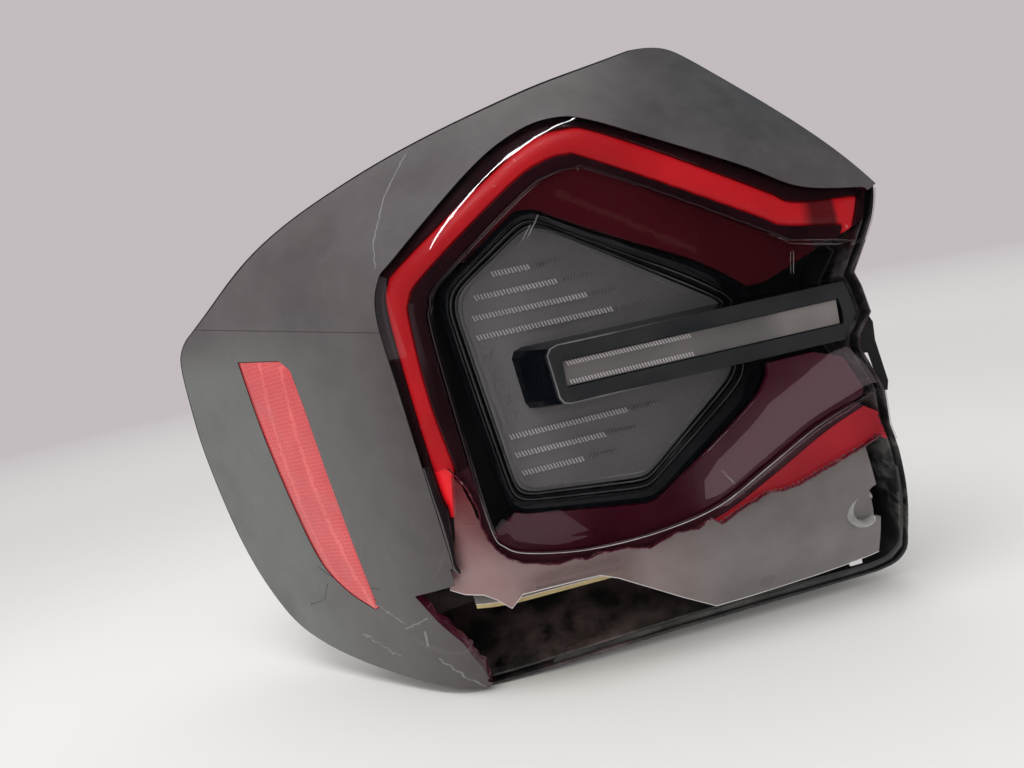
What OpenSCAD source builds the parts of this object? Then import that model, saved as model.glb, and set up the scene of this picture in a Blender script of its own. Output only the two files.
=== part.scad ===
// Left-hand tail light cluster of a car, broken along its foot.
// X runs inboard, Y towards the front of the car, Z up. The origin is midway between
// the two fixing studs, on the plane where the gasket meets the body of the car.

/* [Lamp] */
// Overall width of the lens and the housing
lamp_width = 410; // [380:1:440]
// Overall height of the lens and the housing
lamp_height = 342; // [320:1:365]
// How far the face stands out from the fixing plane
face_reach = 130; // [118:1:145]

/* [Face form] */
// Radius of the face's crown from side to side
crown_across = 2500; // [1600:50:4000]
// Radius of the face's crown from top to bottom
crown_up = 1600; // [1200:50:3000]
// Slope of the side that wraps round the corner of the car
side_slope = 0.98; // [0.9:0.01:1.05]
// Slope of the shoulder at the upper outer corner
corner_slope = 1.2; // [1.1:0.01:1.25]
// Slope of the shoulder above the light band
top_slope = 0.9; // [0.8:0.01:1]
// Slope of the roll under the foot of the lens
foot_slope = 0.55; // [0.45:0.01:0.65]
// Softness of the bends between the face and its shoulders
bend_softness = 9; // [7:0.5:11]

/* [Outer lens] */
// Thickness of the outer lens
lens_wall = 3; // [2.5:0.1:3.5]
// How far the lens's edge stands inside the housing's edge
lens_inset = 2.4; // [2.3:0.1:2.6]
// Width of the tongue along the lens's edge
tongue_width = 2.6; // [2.2:0.1:3]
// Depth of the tongue along the lens's edge
tongue_depth = 5; // [4:0.5:5.5]
// Depth of the step at the crease inside the light band
crease_step = 1.2; // [0.8:0.1:1.6]
// Width of the step at the crease
crease_width = 2.4; // [2:0.1:3]
// Thickness of the matt skins over the lens
skin_wall = 0.5; // [0.4:0.1:0.8]
// Thickness of the side reflector
reflector_wall = 5; // [4:0.5:6]

/* [Light band] */
// Gap behind the outer lens
lens_gap = 0.4; // [0.3:0.1:0.8]
// Depth of the channel that the light band lies in
channel_depth = 10; // [8:0.5:12]
// Wall of the channel
channel_wall = 1.6; // [1.4:0.1:2]
// Gap round the light band in its channel
band_gap = 0.3; // [0.2:0.05:0.5]
// How far the light band's front is crowned
band_crown = 1.5; // [0.8:0.1:2.5]
// Thickness of the circuit boards
board_wall = 1.6; // [1.4:0.1:2]

/* [Centre] */
// Depth of the grey optic behind the face
optic_depth = 28; // [26:0.5:30]
// Thickness of the grey optic
optic_wall = 3; // [2.5:0.5:4]
// Spacing of the rows of teeth on the optic
row_pitch = 10.3; // [9.8:0.1:10.6]
// Height of a row of teeth
row_height = 2.6; // [2:0.1:3.5]
// Pitch of the teeth in a row
tooth_pitch = 3; // [2.8:0.1:4]
// How far a tooth stands out
tooth_depth = 1.6; // [1.2:0.1:2]
// Width of the bezel's lip round the optic
bezel_lip = 3; // [2.5:0.5:4]
// Slope width of the bezel from its lip down to the optic
bezel_slope = 7; // [6:0.5:8]
// Depth of the front of the fin behind the face
fin_depth = 7; // [7:0.5:9]
// Height of the fin at its front
fin_height = 31; // [28:0.5:32]
// How much wider the fin grows towards its root, on each side
fin_draft = 1.5; // [1:0.25:2.5]
// Height of the clear strip in the fin
strip_height = 14; // [12:0.5:16]
// Depth of the clear strip in the fin
strip_depth = 4; // [3:0.5:5]
// Thickness of the carrier plate behind the optic
carrier_wall = 3; // [2.5:0.5:4]

/* [Foot] */
// Depth of the frosted diffuser behind the face
diffuser_depth = 18; // [17:0.5:20]
// Thickness of the frosted diffuser
diffuser_wall = 1.8; // [1.5:0.1:2.2]
// Depth of the amber light bar from front to back
bar_reach = 36; // [30:1:40]
// Thickness of the amber light bar
bar_wall = 2.4; // [2:0.2:3]
// Outer radius of the moulded cup round the diffuser's screw
cup_r = 9; // [8:0.5:10]

/* [Housing] */
// Thickness of the housing's walls
housing_wall = 3; // [2.5:0.25:3.5]
// Width of the groove that takes the lens's tongue
groove_width = 3.6; // [3.4:0.1:4]
// Depth of the groove
groove_depth = 7; // [6.5:0.5:8]
// Width of each ridge beside the groove
ridge_width = 2; // [1.8:0.1:2.4]
// Height of the outer flange
flange_height = 12; // [10:0.5:14]
// Lean of the walls for each millimetre of depth
wall_lean = 0.35; // [0.3:0.01:0.4]
// Depth of the hollow behind the lens where it wraps round the side
wing_depth = 30; // [28:0.5:33]
// Radius of the posts that hold the carrier
post_r = 5; // [4:0.5:6]

/* [Fixings] */
// Distance between the two fixing studs
stud_spacing = 130; // [120:1:140]
// Radius of a fixing stud
stud_r = 3; // [2.5:0.1:4]
// Length of a fixing stud beyond the fixing plane
stud_length = 24; // [15:1:30]
// Thickness of the foam gasket
gasket_wall = 6; // [4:0.5:8]
// Width of the foam gasket
gasket_width = 9; // [7:0.5:10]
// Radius of the locating pin
pin_r = 4; // [3:0.25:5]
// Length of the locating pin
pin_length = 20; // [16:1:26]

/* [Socket] */
// Width of the connector socket
socket_width = 40; // [36:1:44]
// Height of the connector socket
socket_height = 24; // [22:1:26]
// Length of the connector socket
socket_length = 24; // [22:1:28]
// Wall of the connector socket
socket_wall = 2; // [1.6:0.1:2.4]
// Length of the contact pins inside the socket
contact_length = 8; // [6:0.5:9]

/* [Hidden] */

// The outlines are drawn on a grid of so many squares across and up, which stretches
// with the lamp.
grid_count = [410, 342];
function fit(pts) =
    [for (p = pts) [p[0] * lamp_width / grid_count[0], p[1] * lamp_height / grid_count[1]]];
function across(x) = fit([[x, 0]])[0][0];
function upward(z) = fit([[0, z]])[0][1];

// Every ring of the face is measured as a reach from this hub, at an angle from inboard.
hub = fit([[35, 5]])[0];

// Smoothly rounded curve through points
function blend(a, b, c, d, t) =
    0.5 * (2 * b + (c - a) * t + (2 * a - 5 * b + 4 * c - d) * t * t
        + (3 * b - a - 3 * c + d) * t * t * t);
function curve(pts, steps) =
    let (last = len(pts) - 1)
    concat([for (i = [0:last - 1]) for (s = [0:steps - 1])
        blend(pts[max(i - 1, 0)], pts[i], pts[i + 1], pts[min(i + 2, last)], s / steps)],
        [pts[last]]);

function divided(pts, steps, closed) =
    let (n = len(pts))
    concat([for (i = [0:n - (closed ? 1 : 2)]) for (s = [0:steps - 1])
        pts[i] + (pts[(i + 1) % n] - pts[i]) * s / steps], closed ? [] : [pts[n - 1]]);

// A table lists the reach of an outline from the hub against the angle.
function turned(a, start) = a - 360 * floor((a - start + 0.001) / 360);
function angle_of(p) = atan2(p[1] - hub[1], p[0] - hub[0]);
function table(pts, closed = false) =
    let (start = angle_of(pts[0]))
    concat([for (p = pts) [turned(angle_of(p), start), norm(p - hub)]],
        closed ? [[start + 360, norm(pts[0] - hub)]] : []);
function ends(tab) = tab[len(tab) - 1][0] - tab[0][0] < 350;
function reach(tab, a) = lookup(turned(a, tab[0][0] - (ends(tab) ? 60 : 0)), tab);
function spot(a, r) = hub + r * [cos(a), sin(a)];

// Height of the face, as Y, at X and Z
function total(v, i = 0) = i < len(v) ? v[i] + total(v, i + 1) : 0;
function soft_max(v, w) =
    let (m = max(v)) m + w * ln(total([for (a = v) exp((a - m) / w)]));
crown_centre = 60;
side_line = [-104, 50];
corner_line = [-18, 118];
top_line = [160, 68];
foot_line = -110;
side_turn = 6;
corner_turn = 60;
top_turn = 19;
function face_y(p) =
    let (x = p[0] / across(1), z = p[1] / upward(1),
        crown = pow(x - crown_centre, 2) / (2 * crown_across) + z * z / (2 * crown_up),
        side = -cos(side_turn) * (x - side_line[0]) - sin(side_turn) * (z - side_line[1]),
        corner = -cos(corner_turn) * (x - corner_line[0])
            + sin(corner_turn) * (z - corner_line[1]),
        top = sin(top_turn) * (x - top_line[0]) + cos(top_turn) * (z - top_line[1]),
        foot = foot_line - z)
    -face_reach + crown + soft_max([0, side_slope * side, corner_slope * corner,
        top_slope * top, foot_slope * foot], bend_softness);
function on_face(a, r, d) = let (p = spot(a, r)) [p[0], face_y(p) + d, p[1]];

// Outlines, anticlockwise as seen from behind the car, in millimetres across and up
inboard_top = [160, 62];
peak = [75, 168];
inboard_foot = [163, -154];
rim_end = [160, -140];
rim_top = curve(fit([inboard_top, [128, 110], [96, 153]]), 3);
rim_peak = curve(fit([[96, 153], [86, 164], peak, [60, 167]]), 3);
rim_crown = curve(fit([[60, 167], [9, 153], [-69, 138], [-118, 124], [-163, 105],
    [-215, 72], [-238, 58]]), 4);
rim_side = curve(fit([[-238, 58], [-246, 46], [-248, 18], [-247, -21], [-238, -79],
    [-224, -120], [-205, -146], [-166, -163], [-100, -174]]), 4);
rim_foot = curve(fit([[-100, -174], [27, -167], [146, -166]]), 4);
rim_corner = curve(fit([[146, -166], [158, -163], inboard_foot, rim_end]), 3);
rim_inboard = fit([rim_end, [149, -83], [145, -68], [144.5, -49], [133.5, -22.5], [135, -16],
    [143, -5], [140, 10], [137, 18], [154, 45]]);
rim = table(concat(rim_top, rim_peak, rim_crown, rim_side, rim_foot, rim_corner,
    divided(rim_inboard, 4, false)), true);

gloss = table(curve(fit([[153, 60], [114, 67], [84, 84], [36, 109], [13, 121], [-2, 126],
    [-23, 124], [-51, 110], [-99, 73], [-109, 64], [-114, 45], [-111, 3], [-105, -75],
    [-104, -98]]), 3));
band_outer = table(curve(fit([[148, 57], [112, 60], [99, 67], [77, 80], [16, 115],
    [-1, 120], [-20, 117], [-50, 100], [-97, 69], [-105, 61], [-108, 47], [-106, 2],
    [-102, -47], [-99.5, -61], [-101.2, -88], [-102.8, -97]]), 3));
band_inner = table(curve(fit([[144, 42], [103, 49], [86, 58], [7, 102], [-3, 106],
    [-16, 105], [-36, 96], [-86, 62], [-96, 51], [-98, 39], [-97, 1], [-92, -37],
    [-90, -56]]), 3));
crease = table(curve(fit([[146, 33], [107, 40], [92, 47], [10, 94], [-2, 98], [-15, 97],
    [-32, 90], [-80, 57], [-87, 46], [-89, 33], [-85, -30], [-81, -72], [-76, -82],
    [-65, -88], [-33, -94], [5, -94], [39, -88], [70, -73], [101, -58], [132, -48],
    [150, -40], [150, 0], [150, 30]]), 3), true);
// Inner edge of the matt side, with the edge of the fragment at its foot
side_inner = table(fit([[150, 70], [60, 132], [-20, 136], [-80, 110], [-140, 70],
    [-176, 37], [-168, 28], [-165, 4], [-161, -38], [-156, -82], [-151, -119],
    [-128, -109], [-118, -125], [-107, -138], [-104, -146], [-99, -157], [-98, -173]]));
reflector_outer = table(fit([[-201, 38], [-197, -5], [-190, -50], [-181, -90],
    [-168, -110], [-153, -121]]));
// Ragged edge of the broken lens
broken = table(fit([[-96, -36], [-92.8, -41], [-89.4, -46.7], [-86.5, -56.4],
    [-85.5, -63.3], [-85.8, -69.2], [-84, -76.2], [-81, -82.5], [-75.5, -89], [-68.6, -93],
    [-58.5, -96], [-50.5, -98.5], [-42.2, -97], [-36, -99.5], [-29, -98], [-14, -98.5],
    [-1, -102], [14, -97],
    [27, -98], [34, -94], [40, -99], [53, -93], [61, -91], [68, -88], [77, -89],
    [86, -88], [93, -86], [99, -84], [107, -82], [116, -79], [126, -76], [137, -72]]));

// Angles where one piece ends and the next starts, each the bearing of a drawn point
band_start = angle_of(fit([[154, 46]])[0]);
function bearing(p) = turned(angle_of(fit([p])[0]), band_start);
skin_start = bearing(inboard_top);
seam = bearing([-200, 57.5]);
reflector_start = bearing([-200, 38]);
band_break = bearing([-96, -36]);
reflector_end = bearing([-153, -121]);
strip_break = bearing([-104, -93]);
fragment_end = bearing([-99, -173]);
break_end = bearing([137, -72]);
tongue_cut = [turned(angle_of(rim_inboard[4]), band_start),
    turned(angle_of(rim_inboard[8]), band_start)];

// Past the break, the band and the gloss round it reach no further than this.
band_limit = across(165);
gloss_limit = across(171);
function limited(r, a, start, most) = a > start ? min(r, most) : r;

ring_step = 4.6;
stops = concat([band_start, skin_start], [for (p = [peak, [8, 152], [-69, 138]]) bearing(p)],
    [seam, reflector_start, band_break, reflector_end, strip_break, fragment_end],
    [for (p = [[146, -166], [158, -163], inboard_foot, rim_end, [149, -83]]) bearing(p)],
    [break_end], [for (i = [2:8]) turned(angle_of(rim_inboard[i]), band_start)],
    [band_start + 360]);
angles = [for (i = [0:len(stops) - 2])
    let (n = ceil((stops[i + 1] - stops[i]) / ring_step))
    for (s = [0:n - 1]) stops[i] + (stops[i + 1] - stops[i]) * s / n];

function mid(a, b) = (a + b) / 2;
function between(a, lo, hi) = a > lo && a < hi;
function span(lo, hi) = concat([for (a = angles) if (a > lo - 0.01 && a < hi - 0.01) a], [hi]);

// Reach of each ring of the face at an angle, from the edge to the hub
ring_gap = 2.2;
function shrink(v, i = 0, done = []) =
    i == len(v) ? done
    : shrink(v, i + 1, concat(done, i == 0 ? v[0] : min(v[i], done[i - 1] - ring_gap)));
function rings(a) =
    let (edge = reach(rim, a) - lens_inset, torn = a > band_break - 0.01 && a < break_end + 0.01,
        side = reach(side_inner, a), bend = reach(crease, a),
        outer = between(a, reflector_start - 1, reflector_end + 0.1)
            ? reach(reflector_outer, a) : mid(edge, side),
        line = torn ? max(reach(broken, a), bend + 0.5) : reach(band_inner, a))
    shrink([edge, outer, side, limited(reach(gloss, a), a, reflector_end, gloss_limit),
        limited(reach(band_outer, a), a, band_break - 0.01, band_limit),
        line, bend, bend - crease_width, bend / 2]);
face_rings = [for (a = angles) rings(a)];
SIDE_RING = 2;
GLOSS_RING = 3;
BAND_RING = 4;
BREAK_RING = 5;
CREASE_RING = 6;
RINGS = 9;

// Which cells of the face are left: cell i lies between ring i and ring i + 1
function kept(i, a) =
    i < SIDE_RING ? !between(a, fragment_end, break_end)
    : i < BAND_RING ? !between(a, strip_break, break_end)
    : i < BREAK_RING ? !between(a, band_break, break_end) : true;
function is_reflector(i, a) = i == 1 && between(a, reflector_start, reflector_end);

// Solid from an outer and an inner grid of points, where have[i][k] marks the cells that
// it has. The cells close round the hub, and a last ring is shut by a point if hub_shut.
module grid_shell(outer, inner, have, hub_shut) {
    rows = len(outer);
    cols = len(outer[0]);
    size = rows * cols;
    function at(i, k) = i * cols + k % cols;
    function has(i, k) =
        i < 0 || i > rows - 2 ? false : have[i][(k + cols) % cols];
    function two(a, b, c, d) = [[a, b, c], [a, c, d]];
    function middle(ring) = total3(ring) / cols;
    skin = [for (i = [0:rows - 2]) for (k = [0:cols - 1]) if (has(i, k))
        let (a = at(i, k), b = at(i, k + 1), c = at(i + 1, k + 1), d = at(i + 1, k))
        each concat(two(a, d, c, b), two(size + a, size + b, size + c, size + d),
            has(i - 1, k) ? [] : two(a, b, size + b, size + a),
            has(i + 1, k) || (hub_shut && i == rows - 2) ? []
                : two(c, d, size + d, size + c),
            has(i, k - 1) ? [] : two(d, a, size + a, size + d),
            has(i, k + 1) ? [] : two(b, c, size + c, size + b))];
    hub_faces = !hub_shut ? [] : [for (k = [0:cols - 1])
        let (a = at(rows - 1, k), b = at(rows - 1, k + 1))
        each [[a, 2 * size, b], [size + a, size + b, 2 * size + 1]]];
    points = concat([for (r = outer) each r], [for (r = inner) each r],
        hub_shut ? [middle(outer[rows - 1]), middle(inner[rows - 1])] : []);
    used = concat(skin, hub_faces);
    polyhedron(points, used, convexity = 10);
}
function total3(v, i = 0) = i < len(v) ? v[i] + total3(v, i + 1) : [0, 0, 0];

// Solid swept through sections, each a list of points, closed on itself or capped by
// the quarters that caps lists.
module swept(sections, caps, closed = false) {
    count = len(sections);
    side = len(sections[0]);
    last = closed ? count - 1 : count - 2;
    walls = [for (k = [0:last]) for (j = [0:side - 1])
        let (a = k * side + j, b = k * side + (j + 1) % side,
            m = ((k + 1) % count) * side, c = m + (j + 1) % side, d = m + j)
        each [[a, c, b], [a, d, c]]];
    ends = closed ? [] : [for (q = caps) each [
        [q[0], q[1], q[2]], [q[0], q[2], q[3]],
        [for (j = [0, 2, 1]) (count - 1) * side + q[j]],
        [for (j = [0, 3, 2]) (count - 1) * side + q[j]]]];
    polyhedron([for (s = sections) each s], concat(walls, ends), convexity = 10);
}
QUARTER = [[0, 1, 2, 3]];

// Housing: one closed section at each angle, from the back of the hub out over the
// flange and the groove and down the inside.
back_plate = -gasket_wall;
rim_lift = lens_wall + 1;
function back_y(p) = soft_max([back_plate, face_y(p) + wing_depth], 1);
function back_corner(a) =
    let (r = reach(rim, a), foot = on_face(a, r, flange_height)[1])
    r - 10 - wall_lean * max(back_plate - foot, 0);
function on_back(a, r, lift) = let (p = spot(a, r)) [p[0], back_y(p) - lift, p[1]];
function housing_section(a) =
    let (r = reach(rim, a), groove = r - ridge_width, inside = groove - groove_width,
        wall = inside - ridge_width, corner = back_corner(a), top = face_y(spot(a, r)) + rim_lift)
    [on_back(a, 0.4 * corner, 0), on_back(a, 0.7 * corner, 0), on_back(a, 0.86 * corner, 0),
        on_back(a, corner, 0),
        up(a, wall - 1, top + flange_height + 2), up(a, r, top + flange_height),
        up(a, r, top), up(a, groove, top), up(a, groove, top + groove_depth),
        up(a, inside, top + groove_depth), up(a, inside, top + 1), up(a, wall, top + 1),
        up(a, wall - housing_wall, top + flange_height),
        on_back(a, corner - housing_wall, housing_wall), on_back(a, 0.86 * corner, housing_wall),
        on_back(a, 0.7 * corner, housing_wall), on_back(a, 0.4 * corner, housing_wall)];
function up(a, r, y) = let (p = spot(a, r)) [p[0], y, p[1]];

module housing_shell() {
    grid = [for (a = angles) housing_section(a)];
    rows = len(grid[0]);
    cols = len(grid);
    walls = [for (k = [0:cols - 1]) for (j = [0:rows - 2])
        let (n = (k + 1) % cols, a = k * rows + j, b = a + 1, c = n * rows + j + 1, d = c - 1)
        each [[a, b, c], [a, c, d]]];
    hubs = [for (k = [0:cols - 1]) let (a = k * rows, d = ((k + 1) % cols) * rows)
        each [[a, d, cols * rows], [a + rows - 1, cols * rows + 1, d + rows - 1]]];
    points = concat([for (g = grid) each g],
        [[hub[0], back_plate, hub[1]], [hub[0], back_plate - housing_wall, hub[1]]]);
    polyhedron(points, concat(walls, hubs), convexity = 10);
}

module along_y(p, y) {
    translate([p[0], y, p[1]]) rotate([-90, 0, 0]) children();
}

// A flat plate in the XZ plane, from y to y + wall, cut from an outline
module plate(outline, y, wall) {
    translate([0, y + wall, 0]) rotate([90, 0, 0]) linear_extrude(wall) polygon(outline);
}

face_plane = -face_reach;
optic_y = face_plane + optic_depth;
carrier_y = optic_y + optic_wall;
board_y = carrier_y + carrier_wall;
posts = fit([[15, 78], [96, 29], [68, -56], [-30, -79]]);
turn_posts = fit([[-52, -104], [30, -104]]);
cup_at = fit([[129, -116]])[0];
vent_at = fit([[30, -98]])[0];
pin_at = fit([[84, -78]])[0];
vent_r = 9;
module rear_housing() {
    floor_y = back_plate - housing_wall + 1;
    color([0.04, 0.04, 0.045])
    difference() {
        housing_body(floor_y);
        fin_form(fin_gap);
    }
}

module housing_body(floor_y) {
    union() {
        housing_shell();
        for (p = posts)
            along_y(p, board_y + seat) cylinder(r = post_r, h = floor_y - board_y, $fn = 32);
        for (p = turn_posts)
            along_y(p, turn_y) cylinder(r = post_r - 1, h = floor_y - turn_y, $fn = 32);
        along_y(cup_at, cup_y) cylinder(r = post_r - 0.5, h = floor_y - cup_y, $fn = 32);
        for (z = [-1, 1])
            translate([-stud_spacing / 2, back_plate - 0.5, z * rib_z - 1])
            cube([stud_spacing, 3, 2]);
    }
}
rib_z = 44;

// The tongue is cut short where the fin passes under it.
function tongue_at(a) =
    between(a, tongue_cut[0] + 0.1, tongue_cut[1] - 0.1) ? rim_clear : tongue_depth;
function lens_point(a, i, ring, inner) =
    let (tongue = i == 0, row = max(i - 1, 0), r = ring[row] - (inner && i < 2 ? tongue_width : 0),
        sunk = row > CREASE_RING ? crease_step : 0)
    on_face(a, r, sunk + (tongue ? lens_wall + tongue_at(a) : inner ? lens_wall : 0));

function middle_angle(k) =
    mid(angles[k], k + 1 < len(angles) ? angles[k + 1] : angles[0] + 360);

module outer_lens() {
    top = [for (i = [0:RINGS]) [for (k = [0:len(angles) - 1])
        lens_point(angles[k], i, face_rings[k], false)]];
    under = [for (i = [0:RINGS]) [for (k = [0:len(angles) - 1])
        lens_point(angles[k], i, face_rings[k], true)]];
    have = [for (i = [0:RINGS - 1]) [for (k = [0:len(angles) - 1])
        let (a = middle_angle(k)) kept(max(i - 1, 0), a) && !is_reflector(i - 1, a)]];
    color([0.25, 0.03, 0.05]) grid_shell(top, under, have, true);
}

// A matt skin on the lens between two angles, from the lens's edge to the gloss
function face_rows(first, last, lift) = [for (i = [first:last])
    [for (k = [0:len(angles) - 1]) on_face(angles[k], face_rings[k][i], lift)]];

module skin(start, end) {
    have = [for (i = [0:GLOSS_RING - 1]) [for (k = [0:len(angles) - 1])
        let (a = middle_angle(k))
        between(a, start, end) && kept(i, a) && !is_reflector(i, a)]];
    grid_shell(face_rows(0, GLOSS_RING, -skin_wall), face_rows(0, GLOSS_RING, 0), have, false);
}

module upper_skin() {
    color([0.27, 0.24, 0.25]) skin(skin_start, seam);
}

module lower_skin() {
    color([0.38, 0.37, 0.36]) skin(seam, fragment_end);
}

module side_reflector() {
    have = [[for (k = [0:len(angles) - 1]) is_reflector(1, middle_angle(k))]];
    color([0.75, 0.18, 0.2])
    grid_shell(face_rows(1, 2, -0.2), face_rows(1, 2, reflector_wall), have, false);
}

// Gap left between pieces that rest on one another
seat = 0.1;

// Light band and the channel that it lies in
frame_front = lens_wall + lens_gap;
channel_floor = frame_front + channel_depth;
frame_end = 208;
band_tear = 198;
foot_start = 236;
lower_band_start = 271;
lower_band_end = 328;
flange_width = 6;
least_band = 9;
edge_land = 5.5;
rim_clear = 0.6;
function open_edge(a) = reach(rim, a) - 2 * ridge_width - groove_width - rim_clear;
function outer_at(a) =
    min(open_edge(a) - edge_land, limited(reach(band_outer, a), a, band_break, band_limit));
function inner_at(a) = min(outer_at(a) - least_band, reach(band_inner, a));
// The band's inner side is torn off towards its end.
function torn_inner(a) = inner_at(a)
    + (outer_at(a) - inner_at(a) - 3) * max(a - band_tear, 0) / (frame_end - band_tear);

module light_band() {
    front = frame_front + band_crown;
    round_edge = 2.5;
    color([0.85, 0.03, 0.05])
    swept([for (a = span(band_start, frame_end - 1))
        let (o = outer_at(a) - band_gap, i = torn_inner(a) + band_gap,
            e = min(round_edge, (o - i) / 3))
        [on_face(a, i, channel_floor - band_gap), on_face(a, i, front),
            on_face(a, i + e, frame_front + 0.5), on_face(a, o - e, frame_front + 0.5),
            on_face(a, o, front), on_face(a, o, channel_floor - band_gap)]],
        [[0, 1, 4, 5], [1, 2, 3, 4]]);
}

module band_frame() {
    color([0.1, 0.01, 0.02]) {
        band_channel();
        foot_flange();
    }
}

module band_channel() {
    w = channel_wall;
    swept([for (a = span(band_start, frame_end))
        let (o = outer_at(a), i = inner_at(a), c = min(reach(crease, a) + 1, i - w - 1),
            g = max(min(reach(gloss, a) - 0.5, open_edge(a)), o + w + 0.5))
        [on_face(a, c, frame_front), on_face(a, i, frame_front),
            on_face(a, i, channel_floor), on_face(a, o, channel_floor),
            on_face(a, o, frame_front), on_face(a, g, frame_front),
            on_face(a, g, frame_front + w), on_face(a, o + w, frame_front + w),
            on_face(a, o + w, channel_floor + w), on_face(a, i - w, channel_floor + w),
            on_face(a, i - w, frame_front + w), on_face(a, c, frame_front + w)]],
        [[0, 1, 10, 11], [1, 2, 9, 10], [2, 3, 8, 9], [3, 4, 7, 8], [4, 5, 6, 7]]);
}

// What is left of the channel's inner flange and of the band along the foot
function foot_line(a) = a < break_end ? reach(broken, a) - 2 * lens_gap : open_edge(a);
function flange_edge(a) =
    let (i = reach(crease, a) + 1) max(min(foot_line(a), i + flange_width), i + 0.5);
module foot_strip(start, wall, inner, outer) {
    swept([for (a = span(start, lower_band_end))
        let (i = inner(a), o = max(outer(a), i + 0.5))
        [on_face(a, i, frame_front + wall), on_face(a, i, frame_front),
            on_face(a, o, frame_front), on_face(a, o, frame_front + wall)]], QUARTER);
}
module foot_flange() {
    foot_strip(foot_start, channel_wall, function (a) reach(crease, a) + 1,
        function (a) flange_edge(a));
}

module lower_band() {
    color([0.9, 0.02, 0.05])
    foot_strip(lower_band_start, 2 * channel_wall, function (a) flange_edge(a) + band_gap,
        function (a) foot_line(a));
}

module tail_led_board() {
    back = channel_floor + channel_wall + band_gap;
    color([0.1, 0.3, 0.15])
    swept([for (a = span(band_start + 6, band_break - 4))
        let (i = inner_at(a) - channel_wall, o = outer_at(a) + channel_wall)
        [on_face(a, i, back + board_wall), on_face(a, i, back), on_face(a, o, back),
            on_face(a, o, back + board_wall)]], QUARTER);
}

// Grey optic with its rows of teeth
optic_outline = fit([[-29, 76], [-66, 53], [-71, 48], [-73, 40], [-72, 31], [-62, -54],
    [-60, -59], [-55, -62], [6, -69], [12, -68], [66, -27], [71, -20], [72, 10], [69, 17],
    [62, 22], [-20, 75]]);
module optic_plate(grow, y, wall) {
    translate([0, y + wall, 0]) rotate([90, 0, 0]) linear_extrude(wall)
    offset(r = grow, $fn = 24) offset(r = -4) offset(r = 4, $fn = 24) polygon(optic_outline);
}

function left_edge(z) = lookup(z, [[-60, -56], [31, -69], [48, -67], [56, -54]]);
rows_up = [for (i = [0:3]) [56 - i * row_pitch, -29 + i * 13.5]];
rows_down = [for (i = [0:2]) [-30 - i * row_pitch, 8 - i * 14]];
function saw(count, depth) = concat(
    [for (i = [0:count - 1]) each [[i * tooth_pitch, 0],
        [(i + 0.35) * tooth_pitch, -depth], [(i + 0.65) * tooth_pitch, -depth]]],
    [[count * tooth_pitch, 0], [count * tooth_pitch, 0.5], [0, 0.5]]);

module tooth_row(z, end) {
    start = left_edge(z) + 3;
    place = fit([[start, z], [end, z]]);
    translate([place[0][0], optic_y, place[0][1] - row_height / 2])
    linear_extrude(row_height)
    polygon(saw(floor((place[1][0] - place[0][0]) / tooth_pitch), tooth_depth));
}

port_size = 3.4;
port_pitch = 9;
module centre_optic() {
    color([0.45, 0.46, 0.47])
    union() {
        optic_plate(-lens_gap, optic_y, optic_wall);
        for (row = concat(rows_up, rows_down)) tooth_row(row[0], row[1]);
        for (i = [0:4])
            translate([across(-64) + i * 1.4, optic_y - 1, 15 - i * port_pitch])
            cube([port_size, 1.5, port_size]);
    }
}

// Black ring that slopes from its lip down to the optic
bezel_y = face_plane + 12;
bezel_end = optic_y - tooth_depth - 0.6;
optic_edge = table(divided(optic_outline, 16, true), true);
module inner_bezel() {
    color([0.02, 0.02, 0.025])
    difference() {
        swept([for (p = divided(optic_outline, 3, true))
            let (a = angle_of(p), r = norm(p - hub), wide = r + bezel_slope)
            [up(a, r, carrier_y), up(a, r, bezel_end), up(a, wide, bezel_y),
                up(a, wide + bezel_lip, bezel_y), up(a, wide + bezel_lip, bezel_y + 2),
                up(a, r + bezel_lip + 1, carrier_y)]], QUARTER, true);
        fin_form(fin_gap);
    }
}

// Fin across the optic: wider at its root, with its outboard end sloping back
fin_axis = upward(-1.5);
fin_left = across(-35);
fin_nose = across(138);
fin_front = face_plane + fin_depth;
fin_heel = 15;
fin_gap = 0.3;
module fin_slice(grow, y, left) {
    h = fin_height / 2 + grow;
    nose = fin_nose - 5;
    translate([0, 0, fin_axis])
    plate([[left + 5, h], [left + 1, h - 1.5], [left - 0.5, h - 5], [left + 2, 5 - h],
        [left + 4, 1.5 - h], [left + 8, -h], [nose - 6, -h], [nose, 4 - h],
        [fin_nose + grow, -3], [nose - 1, h]], y, 0.5);
}
module fin_form(grow) {
    hull() {
        fin_slice(grow, fin_front - grow, fin_left - grow);
        fin_slice(grow + fin_draft, optic_y - 0.5, fin_left - fin_heel - grow);
    }
}

strip_left = fin_left + 7;
strip_right = fin_nose - 10;
module fin_body() {
    color([0.02, 0.02, 0.03])
    difference() {
        fin_form(0);
        translate([strip_left, fin_front - 1, fin_axis - strip_height / 2])
        cube([strip_right - strip_left, strip_depth + 1, strip_height]);
    }
}

strip_sunk = 1.4;
module fin_strip() {
    length = strip_right - strip_left - 2 * band_gap;
    height = strip_height - 2 * band_gap;
    foot = fin_axis - height / 2;
    color([0.55, 0.56, 0.58])
    union() {
        translate([strip_left + band_gap, fin_front + strip_sunk, foot])
        cube([length, strip_depth - strip_sunk, height]);
        for (z = [0.6, height - 1.8])
            translate([strip_left + 1.5, fin_front + strip_sunk, foot + z])
            linear_extrude(1.2) polygon(saw(floor(0.42 * length / tooth_pitch), 1));
    }
}

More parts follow.
